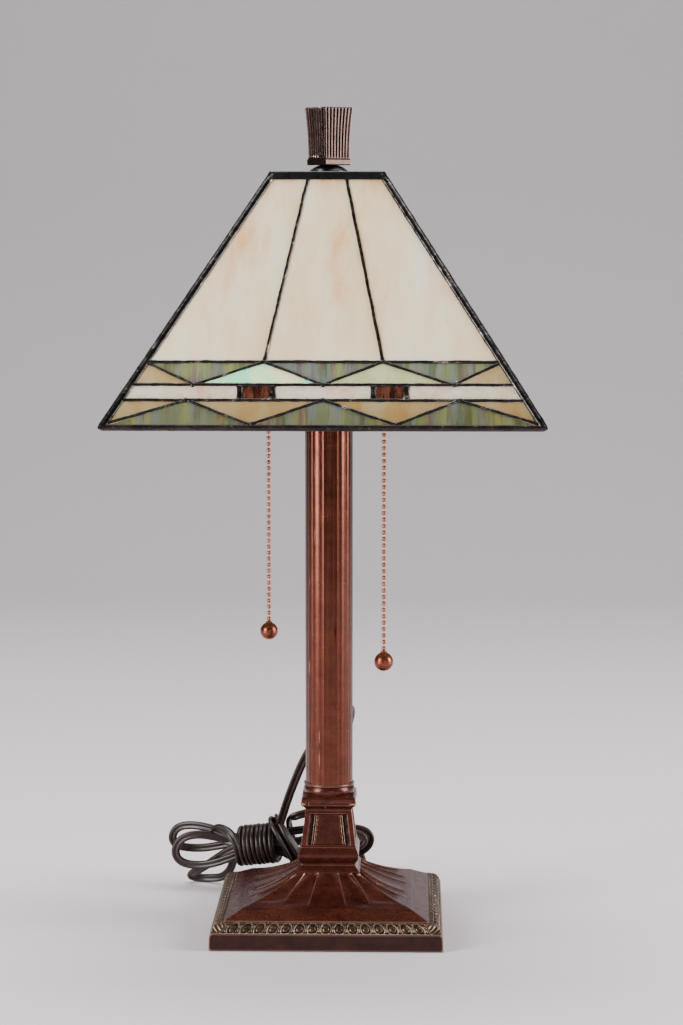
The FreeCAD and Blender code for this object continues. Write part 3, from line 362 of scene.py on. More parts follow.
def arc(start, middle, end, count):
    """Points of the circle through three points, without the first."""
    (ax, ay), (bx, by), (cx, cy) = start, middle, end
    d = 2 * (ax * (by - cy) + bx * (cy - ay) + cx * (ay - by))
    ux = ((ax**2 + ay**2) * (by - cy) + (bx**2 + by**2) * (cy - ay) + (cx**2 + cy**2) * (ay - by)) / d
    uy = ((ax**2 + ay**2) * (cx - bx) + (bx**2 + by**2) * (ax - cx) + (cx**2 + cy**2) * (bx - ax)) / d
    r = math.hypot(ax - ux, ay - uy)
    first, mid, last = [math.atan2(y - uy, x - ux) for x, y in (start, middle, end)]
    turn = (last - first) % (2 * math.pi)
    if (mid - first) % (2 * math.pi) > turn:
        turn -= 2 * math.pi
    return [(ux + r * math.cos(first + turn * k / count), uy + r * math.sin(first + turn * k / count))
            for k in range(1, count + 1)]


def square_sweep(profile, columns, shape=None, turn=0.0):
    """A solid square in plan: the (half-width, height) profile, with relief shape(u, a, z, s, side) on its normal."""
    a, z = profile[:, 0], profile[:, 1]
    step = np.gradient(profile, axis=0)
    size = np.hypot(step[:, 0], step[:, 1])
    na, nz = step[:, 1] / size, -step[:, 0] / size
    s = np.concatenate([[0], np.cumsum(np.hypot(np.diff(a), np.diff(z)))])
    u = np.linspace(-1, 1, columns + 1)[:-1]
    rings, depths = [], []
    for side in range(4):
        grid_u, grid_a = np.meshgrid(u, a)
        grid_z, grid_s = np.meshgrid(u, z)[1], np.meshgrid(u, s)[1]
        relief = shape(grid_u, grid_a, grid_z, grid_s, side) if shape else np.zeros_like(grid_u)
        depths.append(-relief)
        width = grid_a + relief * na[:, None]
        x, y, height = grid_u * width, -width, grid_z + relief * nz[:, None]
        angle = math.radians(90 * side + turn)
        rings.append(np.stack([x * math.cos(angle) - y * math.sin(angle),
                               x * math.sin(angle) + y * math.cos(angle), height], -1))
    points = np.concatenate(rings, axis=1)
    rows, around = points.shape[:2]
    return points.reshape(-1, 3), tube_faces(rows, around), np.concatenate(depths, axis=1).ravel()


def revolve(outline, segments, centre=(0.0, 0.0)):
    """A solid of revolution. Outline points are (radius, z); those at both ends may lie on the axis."""
    outline = [(max(r, 0.001), z) for r, z in outline]
    angles = np.arange(segments) * 2 * math.pi / segments
    points = [[(centre[0] + r * math.cos(t), centre[1] + r * math.sin(t), z) for t in angles] for r, z in outline]
    return np.array(points).reshape(-1, 3), tube_faces(len(outline), segments)


def smooth_step(x, low, high):
    t = np.clip((x - low) / (high - low), 0, 1)
    return t * t * (3 - 2 * t)


def hump(x, centre, half):
    return np.clip(1 - ((x - centre) / half) ** 2, 0, 1)


# ---- Base ----
BASE_PLINTH = [(77.9, 0.3), (78.3, 0.7), (77.75, 11.0), (77.3, 11.7)]
BAND_START, BAND_END = (77.1, 11.75), (68.5, 17.9)
BAND_LINE = [BAND_START] + arc(BAND_START, (74.4, 16.1), BAND_END, 40)
EGG_PITCH = 2 * 67.0 / 15.6


def band_relief(u, a, z, s, side):
    """A row of eggs and darts with a row of beads above it, and a leaf at each corner."""
    x = u * 72.5
    q = (s - s.min()) / (s.max() - s.min())
    p = (x / EGG_PITCH + 0.5) % 1 * 2 - 1
    e = np.hypot(p / 0.5, (q - 0.36) / 0.26)
    egg = 0.75 * np.sqrt(np.clip(1 - e**2, 0, 1))
    shell = 0.6 * hump(e, 1.55, 0.28)
    dart = 0.6 * hump(np.abs(p), 1.0, 0.12) * smooth_step(q, 0.05, 0.2) * (1 - smooth_step(q, 0.55, 0.7))
    field = -0.85 * smooth_step(q, 0.02, 0.1) * (1 - smooth_step(q, 0.66, 0.74))
    row = np.sqrt(np.clip(1 - ((x / 1.6) % 1 * 2 - 1) ** 2, 0, 1)) * hump(q, 0.87, 0.1)
    beads = 0.8 * row - 0.5 * hump(q, 0.87, 0.13)
    near = 72.5 - np.abs(x)
    leaf = (0.35 * np.cos((near + 14 * q) * 2.1) - 0.2) * hump(q, 0.38, 0.4)
    work = np.where(near < 6.0, leaf, egg + shell + dart + field) + beads
    edge = smooth_step(q, 0.0, 0.05) * (1 - smooth_step(q, 0.95, 1.0))
    return work * edge


FLARE_FOOT = [(68.6, 17.4), (68.4, 18.1), (67.8, 18.5), (58.3, 23.1), (57.7, 23.1), (57.4, 23.7), (57.1, 23.9)]
FLARE_LINE = resample(FLARE_FOOT, 0.6).tolist()
FLARE_LINE += arc((57.1, 23.9), (41.0, 29.3), (22.6, 39.2), 46)
FLARE_LINE += [(21.9, 39.9), (21.6, 40.4), (21.2, 40.6), (18.9, 43.6), (18.6, 44.5)]


def flare_relief(u, a, z, s, side):
    """Five hollow flutes up each side, meeting at sharp arrises that spread towards the foot."""
    share = np.clip((a - 22.6) / (57.4 - 22.6), 0, 1)
    inner, outer = 0.3075 - 0.088 * share, 0.7345 - 0.1945 * share
    v = np.abs(u)
    t = np.where(v < inner, v / inner, np.where(v < outer, 2 * (v - inner) / (outer - inner) - 1,
                                                2 * (v - outer) / (1 - outer) - 1))
    hollow = -(1 - t**2) * (0.75 + 0.75 * (1 - share))
    reach = np.where(v < inner, 0.94, np.where(v < outer, 0.93, 0.8))
    fade = (1 - smooth_step(share, reach - 0.16, reach)) * smooth_step(40.5 - z, 0.0, 0.7) * (a < 57.2)
    ripple = np.where((side % 2 == 1) & (v > outer), 0.16 * np.cos(v * 60.0), 0.0) * fade
    ridge = 0.3 * (np.exp(-((v - inner) / 0.011) ** 2) + np.exp(-((v - outer) / 0.011) ** 2)) * fade
    return hollow * fade + ridge + ripple


def make_base():
    """The plinth, the cast band above it and the flare, which together stand for the casting."""
    for name, line, columns, shape, material in (
            ("base_plinth", resample(BASE_PLINTH, 1.2), 160, None, BRONZE_DARK),
            ("base_band", np.array(BAND_LINE), 620, band_relief, ANTIQUE),
            ("base_flare", np.array(FLARE_LINE), 330, flare_relief, BRONZE)):
        verts, faces, depth = square_sweep(line, columns, shape)
        nodes = ["base_casting"] if name == "base_flare" else []
        # Depth of the egg-and-dart relief, kept on the points to paint shade into its recesses.
        hollow = smooth_step(depth, 0.25, 0.8) * (name == "base_band")
        mesh_piece(name, verts, faces, "root", nodes, "cast_bronze", material, 75.0, hollow=hollow)


# ---- Neck and collar ----
NECK_LINE = [(18.0, 44.5), (18.2, 46.0)] + arc((18.2, 46.0), (20.6, 50.4), (19.0, 55.9), 16)
NECK_LINE += [(18.7, 56.2), (19.0, 56.6), (18.95, 57.4), (18.5, 57.9), (15.9, 80.6), (15.6, 81.4)]
NECK_LINE += [(15.6, 82.0)] + arc((15.6, 82.0), (16.4, 84.2), (18.0, 85.2), 8)
NECK_LINE += [(18.35, 85.6), (18.4, 86.6), (18.1, 87.0), (18.4, 87.4), (18.4, 88.8)]
NECK_LINE += arc((18.4, 88.8), (18.15, 90.9), (17.0, 91.8), 6)


def neck_relief(u, a, z, s, side):
    """A sunk panel with two thin ribs at each side of a flat tablet, and a bead at each corner of the capital."""
    edge = a * (1 - np.abs(u))
    tall = smooth_step(z, 58.2, 58.8) * (1 - smooth_step(z, 79.2, 79.8))
    depth = -1.9 * smooth_step(edge, 3.1, 3.5)
    ribs = 1.15 * (hump(edge, 6.35, 0.42) + hump(edge, 7.75, 0.42))
    tablet = 0.75 * smooth_step(edge, 8.3, 8.6)
    panel = (depth + ribs + tablet) * tall
    knob = 0.55 * hump(edge, 1.9, 1.7) * hump(z, 87.2, 2.0) - 0.7 * hump(edge, 4.2, 0.55) * hump(z, 87.2, 2.4)
    knob -= 0.25 * hump(z, 87.1, 0.5) * smooth_step(edge, 4.6, 5.2)
    return panel + knob


def make_neck():
    line = resample(NECK_LINE, 0.33)
    verts, faces, depth = square_sweep(line, 190, neck_relief)
    # Depth of the sunk panel, kept on the points to paint shade into its channels.
    mesh_piece("neck", verts, faces, "root", ["neck_casting"], "cast_bronze", BRONZE, 80.0,
               hollow=smooth_step(depth, 0.9, 1.7))
    ring = [(13.4, 91.8), (16.6, 91.8)] + arc((16.6, 91.8), (17.55, 94.3), (16.9, 97.0), 10)
    ring += [(16.75, 97.3), (17.15, 97.7)] + arc((17.15, 97.7), (17.45, 98.6), (17.0, 99.4), 6)
    ring += [(16.3, 99.4), (16.2, 98.0)]
    verts, faces = revolve(ring, 128)
    mesh_piece("collar", verts, faces, "root", ["column_collar"], "cast_bronze", BRONZE, 60.0)


# ---- Column ----
def make_column():
    """A thin tube drawn over a fluted former: 32 hollow flutes with narrow rounded arrises."""
    flutes, per, levels = 32, 14, 90
    angles = np.arange(flutes * per) * 2 * math.pi / (flutes * per)
    t = (np.arange(flutes * per) % per) / per * 2 - 1
    hollow = 0.24 * (1 - np.abs(t) ** 2.6) ** 0.8
    points = []
    for z in np.linspace(96.0, 350.0, levels):
        sway = [0.05 * noise.noise(Vector((i * 0.9, z * 0.012, 3.0))) for i in range(flutes)]
        r = 16.19 - hollow * (1 + np.repeat(sway, per) * 4)
        points.append(np.stack([r * np.cos(angles), r * np.sin(angles), np.full_like(r, z)], -1))
    verts, faces = np.array(points).reshape(-1, 3), tube_faces(levels, flutes * per)
    mesh_piece("column", verts, faces, "root", ["column_tube"], "column_copper", COLUMN, 60.0)


# ---- Shade ----
RIM_HALF, RIM_LOW, TOP_HALF, TOP_HIGH = 141.6, 353.8, 37.6, 514.6
RUN, DROP = RIM_HALF - TOP_HALF, TOP_HIGH - RIM_LOW
SLOPE = math.hypot(RUN, DROP)
LINE_1, LINE_2, LINE_3 = [(TOP_HIGH - h) / DROP * SLOPE for h in (394.8, 380.8, 371.4)]
FOOT = SLOPE - 4.0
GLASS_MIDDLE = 1.7  # below the face's outer surface
ACCENT_HALF = 10.4
FACINGS = [(1, 0), (0, 1), (-1, 0), (0, -1)]  # the cosine and sine that turn the front face to each side


def half_at(t):
    return TOP_HALF + RUN * t / SLOPE


def on_face(x, t, depth, side):
    """Points of the shade's face, from across, down the slope and depth below its outer surface."""
    px = np.asarray(x, float)
    py = -TOP_HALF - np.asarray(t, float) * RUN / SLOPE + np.asarray(depth, float) * DROP / SLOPE
    pz = TOP_HIGH - np.asarray(t, float) * DROP / SLOPE - np.asarray(depth, float) * RUN / SLOPE
    c, s = FACINGS[side]
    return np.stack([px * c - py * s, px * s + py * c, pz], -1)


def bead_run(p, q, half, seed, side):
    """A run of solder between two places on a face: a lumpy, slightly wandering bead on both sides of the glass."""
    (x0, t0), (x1, t1) = p, q
    length = math.hypot(x1 - x0, t1 - t0)
    count = max(4, int(length / 0.9))
    share = np.linspace(0, 1, count)
    cx, ct = x0 + (x1 - x0) * share, t0 + (t1 - t0) * share
    nx, nt = -(t1 - t0) / length, (x1 - x0) / length
    around, lift, thick = 14, 0.55, 2.15
    rings = []
    for k in range(count):
        at = share[k] * length
        lump = noise.noise(Vector((at * 0.22, seed * 3.7, 0.0)))
        lump += 0.6 * noise.noise(Vector((at * 0.9, seed * 5.1, 4.0)))
        wander = 0.28 * noise.noise(Vector((at * 0.08, seed * 2.3, 9.0)))
        ends = min(1.0, 0.55 + 0.45 * min(share[k], 1 - share[k]) * length / 0.8)
        near = min(share[k], 1 - share[k]) * length
        w = half * (1 + 0.15 * lump + 0.55 * math.exp(-near / 2.2))
        h = thick * ends
        top = lift * (1 + 0.5 * lump)
        ring = []
        for m in range(around):
            angle = 2 * math.pi * m / around
            c, s = math.cos(angle), math.sin(angle)
            side_way = math.copysign(abs(c) ** 0.62, c) * w + wander
            depth = GLASS_MIDDLE - math.copysign(abs(s) ** 0.8, s) * (h + (top - 0.45 if s > 0 else 0))
            ring.append((cx[k] + nx * side_way, ct[k] + nt * side_way, depth))
        rings.append(ring)
    flat = np.array(rings).reshape(-1, 3)
    return on_face(flat[:, 0], flat[:, 1], flat[:, 2], side), tube_faces(count, around)


def blob(x, t, radius, side, seed):
    """A drop of solder where runs meet."""
    rings, around, rise = [], 18, 0.75
    for j in range(1, 8):
        polar = math.pi * j / 8
        for m in range(around):
            angle = 2 * math.pi * m / around
            c, s = math.cos(angle), math.sin(angle)
            r = radius * math.sin(polar) * (1 + 0.16 * noise.noise(Vector((c * 1.5, s * 1.5, seed))))
            rings.append((x + r * c, t + r * s, GLASS_MIDDLE - (GLASS_MIDDLE + rise) * math.cos(polar)))
    flat = np.array(rings)
    return on_face(flat[:, 0], flat[:, 1], flat[:, 2], side), tube_faces(7, around)


def seam_lines():
    """Runs of one face as pairs of (share of the half-width, distance down), and the places where they meet."""
    third, two_thirds = 1 / 3, 2 / 3
    runs = [((-third, 0.5), (-third, LINE_1)), ((third, 0.5), (third, LINE_1))]
    runs += [((-1, t), (1, t)) for t in (LINE_1, LINE_2, LINE_3)]
    upper = [(-1, LINE_1), (-two_thirds, LINE_2), (-third, LINE_1), (0, LINE_2), (third, LINE_1),
             (two_thirds, LINE_2), (1, LINE_1)]
    foot = FOOT + 0.7
    lower = [(-1, foot), (-two_thirds, LINE_3), (-third, foot), (0, LINE_3), (third, foot),
             (two_thirds, LINE_3), (1, foot)]
    runs += list(zip(upper, upper[1:])) + list(zip(lower, lower[1:]))
    return runs, upper[1:-1] + lower[1:-1]


def corner_run(side):
    """The heavier bead down one corner of the shade, from the cap to the rim."""
    count, around = 210, 16
    rings = []
    diagonal = np.array([(1, -1), (1, 1), (-1, 1), (-1, -1)][side], float) / math.sqrt(2)
    across = np.array([-diagonal[1], diagonal[0]])
    for k in range(count):
        t = 1.0 + (FOOT + 1.0) * k / (count - 1)
        a, z = half_at(t), TOP_HIGH - t * DROP / SLOPE
        lump = noise.noise(Vector((t * 0.16, side * 7.7, 1.0)))
        lump += 0.6 * noise.noise(Vector((t * 0.7, side * 3.3, 5.0)))
        size = 2.75 * (1 + 0.1 * lump)
        centre = a * math.sqrt(2) - 2.85
        for m in range(around):
            angle = 2 * math.pi * m / around
            out, way = math.cos(angle) * size, math.sin(angle) * size * 1.15
            place = diagonal * (centre + out) + across * way
            rings.append((place[0], place[1], z + 0.6 * math.cos(angle)))
    return np.array(rings), tube_faces(count, around)


def make_shade():
    runs, meets = seam_lines()
    parts = []
    for side in range(4):
        for i, ((s0, t0), (s1, t1)) in enumerate(runs):
            wide = 1.2 if i < 5 else 1.08
            start, end = (s0 * (half_at(t0) - 1.4), t0), (s1 * (half_at(t1) - 1.4), t1)
            parts.append(bead_run(start, end, wide, 20 * side + i, side))
        middle = half_at((LINE_2 + LINE_3) / 2) / 3
        for sign in (-1, 1):
            for j, edge in enumerate((-ACCENT_HALF, ACCENT_HALF)):
                x = sign * middle + edge
                parts.append(bead_run((x, LINE_2), (x, LINE_3), 1.9, 90 + 9 * side + 3 * sign + j, side))
        for i, (share, t) in enumerate(meets):
            radius = 2.1 + 0.35 * noise.noise(Vector((i * 1.7, side, 2.0)))
            parts.append(blob(share * half_at(t), t, radius, side, i + 9 * side))
        parts.append(corner_run(side))
    verts, faces = join_parts(parts)
    names = [s + "_seams" for s in ("front", "right", "back", "left")]
    mesh_piece("solder", verts, faces, "shade", names, "solder", SOLDER, 70.0)
    make_rim()
    make_glass()


def pane_outlines():
    """The panes of one face by colour, as outlines of (share of the half-width or distance across, distance down)."""
    third, two_thirds, foot = 1 / 3, 2 / 3, FOOT + 2.4
    widths = ((-1, -third), (-third, third), (third, 1))
    cream = [[(a, 0.3), (b, 0.3), (b, LINE_1), (a, LINE_1)] for a, b in widths]
    green = [[(a, LINE_1), (b, LINE_1), ((a + b) / 2, LINE_2)] for a, b in widths]
    green += [[(a, foot), ((a + b) / 2, LINE_3), (b, foot)] for a, b in widths]
    film = [[(a, LINE_1), (a + third, LINE_2), (a - third, LINE_2)] for a in (-third, third)]
    caramel = [[(-1, LINE_1), (-two_thirds, LINE_2), (-1, LINE_2)], [(1, LINE_1), (1, LINE_2), (two_thirds, LINE_2)]]
    caramel += [[(-1, LINE_3), (-two_thirds, LINE_3), (-1, foot)], [(two_thirds, LINE_3), (1, LINE_3), (1, foot)]]
    caramel += [[(a - third, LINE_3), (a + third, LINE_3), (a, foot)] for a in (-third, third)]
    middle = half_at((LINE_2 + LINE_3) / 2) / 3
    cuts = [-middle - ACCENT_HALF, -middle + ACCENT_HALF, middle - ACCENT_HALF, middle + ACCENT_HALF]
    accent = [[(cuts[k], LINE_2), (cuts[k + 1], LINE_2), (cuts[k + 1], LINE_3), (cuts[k], LINE_3)] for k in (0, 2)]
    band = [[(-1, LINE_2), (cuts[0], LINE_2), (cuts[0], LINE_3), (-1, LINE_3)],
            [(cuts[1], LINE_2), (cuts[2], LINE_2), (cuts[2], LINE_3), (cuts[1], LINE_3)],
            [(cuts[3], LINE_2), (1, LINE_2), (1, LINE_3), (cuts[3], LINE_3)]]
    return {"cream_panels": cream, "green_glass": green, "iridescent_glass": film, "caramel_glass": caramel,
            "accent_glass": accent, "band_glass": band}


def make_glass():
    """Flat panes that meet under the solder, each with its own piece of sheet."""
    paints = {"cream_panels": CREAM, "green_glass": GREEN, "iridescent_glass": IRIDESCENT, "caramel_glass": CARAMEL,
              "accent_glass": ACCENT, "band_glass": BAND}
    for node, outlines in pane_outlines().items():
        parts, seeds, sheets = [], [], []
        for side in range(4):
            for i, outline in enumerate(outlines):
                flat = []
                for share, t in outline:
                    half = half_at(t) - 2.6
                    flat.append((share * half if abs(share) <= 1 else share, t))
                n = len(flat)
                xs, ts = np.array(flat * 2).T
                depths = np.repeat([0.5, 2.9], n)
                faces = [tuple(range(n)), tuple(range(n, 2 * n))]
                faces += [(k, (k + 1) % n, n + (k + 1) % n, n + k) for k in range(n)]
                parts.append((on_face(xs, ts, depths, side), faces))
                seed = (0.95, 0.15)[i % 2] if node == "iridescent_glass" else rng.uniform()
                seeds.append(np.full(2 * n, seed))
                sheets.append(np.stack([xs, ts, depths], -1) * MM)
        verts, faces = join_parts(parts)
        slot = "cream_glass" if node in ("cream_panels", "band_glass") else node
        mesh_piece("panes_" + node, verts, faces, "shade", [node], slot, paints[node], 30.0,
                   seed=np.concatenate(seeds), sheet=np.concatenate(sheets))


def make_rim():
    """The bent channel round the foot of the shade, with rounded lips."""
    def place(t, depth):
        return half_at(t) - depth * DROP / SLOPE, TOP_HIGH - t * DROP / SLOPE - depth * RUN / SLOPE

    outer = [(FOOT + 1.1, -0.35), (FOOT + 1.5, -0.55), (SLOPE - 1.6, -0.6), (SLOPE - 0.5, -0.4), (SLOPE - 0.05, 0.3)]
    inner = [(SLOPE - 0.05, 3.1), (SLOPE - 0.5, 3.8), (FOOT + 0.9, 3.95), (FOOT + 0.3, 3.7), (FOOT, 2.0)]
    outline = [place(t, depth) for t, depth in outer + inner]
    columns, points = 150, []
    for side in range(4):
        c, s = FACINGS[side]
        for u in np.linspace(-1, 1, columns + 1)[:-1]:
            bend = 0.16 * noise.noise(Vector((u * 9.0, side * 4.0, 0.0))) * (1 - u**4)
            for a, z in outline:
                x, y = u * a, -(a + min(0.0, bend))
                points.append((x * c - y * s, x * s + y * c, z + 0.5 * bend))
    n, around = len(outline), 4 * columns
    faces = []
    for i in range(around):
        for j in range(n):
            k, m = (i + 1) % around, (j + 1) % n
            faces.append((i * n + j, k * n + j, k * n + m, i * n + m))
    mesh_piece("rim", np.array(points), faces, "shade", ["rim_channel"], "rim_metal", RIM, 50.0)


# ---- CAD nodes that are shown as they are ----
def dress(node, material, bevel=0.15):
    """Gives a CAD node its finish and softens its edges."""
    piece = NODES[node]
    piece.data.materials.clear()
    piece.data.materials.append(material)
    weld = piece.modifiers.new("weld", "WELD")
    weld.merge_threshold = 0.000005
    soft = piece.modifiers.new("bevel", "BEVEL")
    soft.width = bevel * MM
    soft.segments = 2
    soft.limit_method = "ANGLE"
    soft.angle_limit = math.radians(35)
    soft.harden_normals = True


def dress_hardware():
    for node in ("column_cap", "cluster_body", "cluster_cover", "socket_arms", "socket_caps", "socket_shells",
                 "pull_mouths", "front_lever", "back_lever", "finial_insert", "screw_shells", "centre_contacts",
                 "plug_blades"):
        dress(node, BRASS)
    for node in ("lamp_pipe", "riser_stem", "shade_rest", "lock_nuts", "bottom_washer", "lever_pins", "front_spring",
                 "back_spring", "front_bulb_base", "back_bulb_base"):
        dress(node, STEEL, 0.1)
    dress("base_weight", IRON, 0.6)
    dress("socket_liners", CARD, 0.1)
    dress("socket_cores", PHENOLIC)
    dress("felt_pad", FELT, 0.3)
    dress("vase_cap", BLACK, 0.25)
    dress("check_ring", BLACK, 0.3)
    dress("cord_bushing", PLUG, 0.3)
    dress("supply_wire", CORD, 0.1)
    for side in ("front", "back"):
        dress(side + "_pull_link", CHAIN, 0.1)


# ---- Finial ----
def finial_relief(u, a, z, s, side):
    """Eight upright ribs on each side between a plain foot and the top."""
    ribs = 0.5 + 0.5 * np.cos(u * 8 * math.pi)
    rib = smooth_step(ribs, 0.08, 0.62)
    tall = smooth_step(z, 525.6, 526.5)
    inside = 1 - smooth_step(np.abs(u), 0.97, 1.0)
    return -0.8 * (1 - rib) * tall * inside


def make_finial():
    foot, top = 520.4, 559.0
    line = [(10.1, foot), (10.4, foot + 0.3), (10.45, foot + 3.6), (10.1, foot + 4.0), (9.8, foot + 4.6)]
    line += arc((9.8, foot + 4.6), (10.15, foot + 20.0), (11.45, top - 0.9), 40) + [(11.3, top - 0.3), (10.9, top)]
    verts, faces, depth = square_sweep(resample(line, 0.7), 200, finial_relief, 39.7)
    # Depth of the grooves between the ribs, kept on the points to paint shade into them.
    mesh_piece("finial_ribbed", verts, faces, "finial", ["finial"], "finial_bronze", FINIAL, 80.0,
               hollow=smooth_step(depth, 0.15, 0.7))


# ---- Pull chains ----
def make_chain(side):
    """Hollow beads with their seams, on short links, and the ball with its ferrule."""
    low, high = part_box(side + "_chain")
    x, y = (low.x + high.x) / 2 / MM, (low.y + high.y) / 2 / MM
    top, bottom = high.z / MM, low.z / MM
    pitch, radius = 4.28, 1.6
    parts = []
    count = int(round((top - bottom - 2 * radius) / pitch)) + 1
    for i in range(count):
        z = top - radius - i * pitch
        outline = []
        for k in range(13):
            angle = math.pi * k / 12
            seam = 0.07 if k == 6 else 0.0
            outline.append(((radius - seam) * math.sin(angle), z - radius * math.cos(angle)))
        parts.append(revolve(outline, 18, (x, y)))
        if i:
            link = [(0.42, z + radius - 0.2), (0.5, z + pitch / 2), (0.42, z + pitch - radius + 0.2)]
            parts.append(revolve(link, 8, (x, y)))
    verts, faces = join_parts(parts)
    body = side + "_chain"
    mesh_piece(side + "_bead_chain", verts, faces, body, [side + "_chain"], "copper_chain", CHAIN, 75.0)

    low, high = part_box(side + "_pull_ball")
    tip, foot = high.z / MM, low.z / MM
    ball = max((high.x - low.x) / 2 / MM, 6.3)
    centre = foot + ball
    outline = []
    for k in range(0, 31):
        angle = math.pi * k / 34
        groove = 0.12 * math.exp(-((k - 17) / 0.6) ** 2)
        outline.append(((ball - groove) * math.sin(angle), centre - ball * math.cos(angle)))
    neck = outline[-1][1]
    outline += [(2.1, neck + 0.15), (2.35, neck + 0.5), (2.1, neck + 0.9), (1.5, neck + 1.1)]
    outline += [(1.35, tip - 0.2), (0.6, tip)]
    verts, faces = revolve(outline, 64, (x, y))
    mesh_piece(side + "_ball", verts, faces, body, [side + "_pull_ball"], "copper_chain", CHAIN, 60.0)


# ---- Bulbs ----
def make_bulb(side):
    """A small frosted globe and its neck."""
    low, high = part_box(side + "_bulb_glass")
    x, y = (low.x + high.x) / 2 / MM, (low.y + high.y) / 2 / MM
    foot, top, r = low.z / MM, high.z / MM, 20.0
    centre = top - r
    outline = [(6.7, foot), (6.8, foot + 0.6), (8.2, foot + 2.0), (9.4, foot + 3.6)]
    start = math.asin(9.4 / r)
    for k in range(1, 37):
        angle = start + (math.pi - start) * k / 36
        outline.append((r * math.sin(angle), centre - r * math.cos(angle)))
    verts, faces = revolve(outline, 72, (x, y))
    mesh_piece(side + "_globe", verts, faces, side + "_bulb", [side + "_bulb_glass"], "bulb_glass", BULB, 70.0)


# ---- Cord ----
# The route, in millimetres: out of the bushing, over to the tie, the hank's loops and wraps, and the tail to the plug.
FRONT = (0.0, -1.0, 0.0)
LEAD = [(24, 100.3, 6.4), (24, 112.5, 6.4), (21.5, 124, 11), (17.5, 132.5, 20.5), (12.5, 136.5, 34), (8, 135.5, 52),
        (5, 126, 73), (5, 110, 91), (7.5, 93, 107), (11, 77, 123), (14.7, 60, 139.6), (9.2, 39.9, 143.5),
        (-4, 25.5, 131.9), (-17.3, 25, 111.6), (-25, 41, 92), (-31.5, 58, 73), (-37, 73, 54)]
FAN_1 = [(-75.5, 91.5, 39.5), (-85.5, 95, 43), (-97.5, 99, 45), (-108.5, 103, 44.5), (-115.5, 106, 41),
         (-118.5, 107, 34), (-115.5, 107, 28.5), (-107.5, 106, 27), (-96.5, 104, 27), (-84.5, 101, 29.5),
         (-75.5, 98, 32)]
FAN_2 = [(-75.5, 94, 36.5), (-84, 94, 37.5), (-94, 94, 39.5), (-103.5, 95, 39), (-111, 96, 35.5), (-115, 97, 29),
         (-114.5, 97, 22), (-109, 96, 17.5), (-98, 94, 16.5), (-86.5, 90.5, 19), (-75.5, 88, 23.5)]
FAN_3 = [(-76, 88, 29), (-85, 93, 22), (-95, 100, 13.5), (-102.5, 106, 8.5), (-105.5, 110, 5), (-101, 112, 3.2),
         (-92, 110, 3.2), (-81, 105, 5), (-74.5, 99.5, 13), (-73, 96, 20)]
END_1 = [(-27.5, 90, 28), (-13.5, 89.5, 26.5), (2.5, 89, 27), (15, 88.5, 27.5), (22.5, 88, 30), (27, 87, 35.5),
         (27, 86.5, 41.5), (22, 87, 45.5), (12, 87.5, 46.5), (-3, 88.5, 46), (-18, 89.5, 45), (-28, 91, 43.5)]
END_2 = [(-27, 79.5, 30.5), (-13.5, 79, 31), (2.5, 79, 32), (14.5, 79.5, 33.5), (21, 80, 36), (23, 80.5, 40),
         (19.5, 80.5, 43.5), (11, 80, 44.5), (-2.5, 79.5, 43.5), (-16, 79, 41), (-27, 78, 38)]
END_3 = [(-29, 86, 24.5), (-21, 85.5, 24.5), (-13, 84.5, 26.5), (-9, 84, 31), (-12, 84, 35.5), (-20, 84.5, 37),
         (-29, 84.8, 37.5)]
TURN_BACK = [(-73, 92, 34), (-80.5, 97, 35.5), (-86.5, 97, 40.5), (-84.5, 91, 45.5), (-78, 84, 46), (-71.5, 78.5, 42),
             (-67.5, 77, 31.5), (-66.5, 82, 20.5)]
KNOT = [(-43.5, 90, 51.5), (-45, 82, 53.0), (-43, 74.5, 51), (-38, 70.5, 44.5), (-32.5, 70.5, 35), (-28.5, 74, 26.5),
        (-27, 84, 20), (-29.5, 95, 20.5), (-34, 100, 30), (-38.5, 99, 42), (-41, 92, 52.5), (-40.5, 82, 55),
        (-37, 74.5, 52), (-32.5, 70.5, 44.5), (-26.5, 70, 36.5), (-22.5, 74, 27.5), (-22, 84, 19.5), (-24.5, 97, 19.5),
        (-28.5, 102, 29.5), (-31.5, 101, 42), (-32.5, 94, 50.5)]
TAIL = [(-28.5, 87.5, 54.5), (-21, 87, 57), (-6, 93, 58.5), (7, 98, 50), (12, 100.5, 34), (9, 100.5, 18.5),
        (-1, 97, 8.6), (-11, 92.6, 6.2), (-22, 92, 6)]
CORE_LEFT, CORE_RIGHT = np.array((-67.0, 90.5, 32.2)), np.array((-39.0, 85.0, 36.3))
ALONG = (CORE_RIGHT - CORE_LEFT) / np.linalg.norm(CORE_RIGHT - CORE_LEFT)
BEHIND = np.array((0.192, 0.981, 0.0))
ABOVE = np.cross(ALONG, -BEHIND) * -1.0
WRAP_TURNS, WRAP_RADIUS, WRAP_STEPS = 8.25, 12.2, 12
LOBE_RADIUS, LOBE_OFFSET, HALF_WIDTH = 1.57, 1.53, 3.1  # the cord's two wires and their web
WEB_HALF_WIDTH, WEB_HALF_THICK = 1.5, 0.9


def in_core(angle, leftward, radius=6.2):
    """Three places of a strand inside the wraps, at an angle from above towards the front."""
    side = ABOVE * math.cos(math.radians(angle)) - BEHIND * math.sin(math.radians(angle))
    places = [CORE_LEFT + (CORE_RIGHT - CORE_LEFT) * share + side * radius for share in (0.97, 0.67, 0.33, 0.03)]
    return [tuple(p) for p in (places if leftward else places[::-1])]


def wraps():
    """The tight turns round the bundle, from its left end to its right, with a slight unevenness."""
    places, steps = [], int(WRAP_TURNS * WRAP_STEPS)
    for k in range(1, steps + 1):
        angle = math.radians(180 + 360 / WRAP_STEPS * k)
        radius = WRAP_RADIUS + 0.35 * math.sin(k * 1.9)
        centre = CORE_LEFT + (CORE_RIGHT - CORE_LEFT) * (0.02 + 0.93 * k / steps)
        centre = centre + ALONG * 0.25 * math.sin(k * 0.7)
        places.append(tuple(centre + ABOVE * math.cos(angle) * radius - BEHIND * math.sin(angle) * radius))
    return places


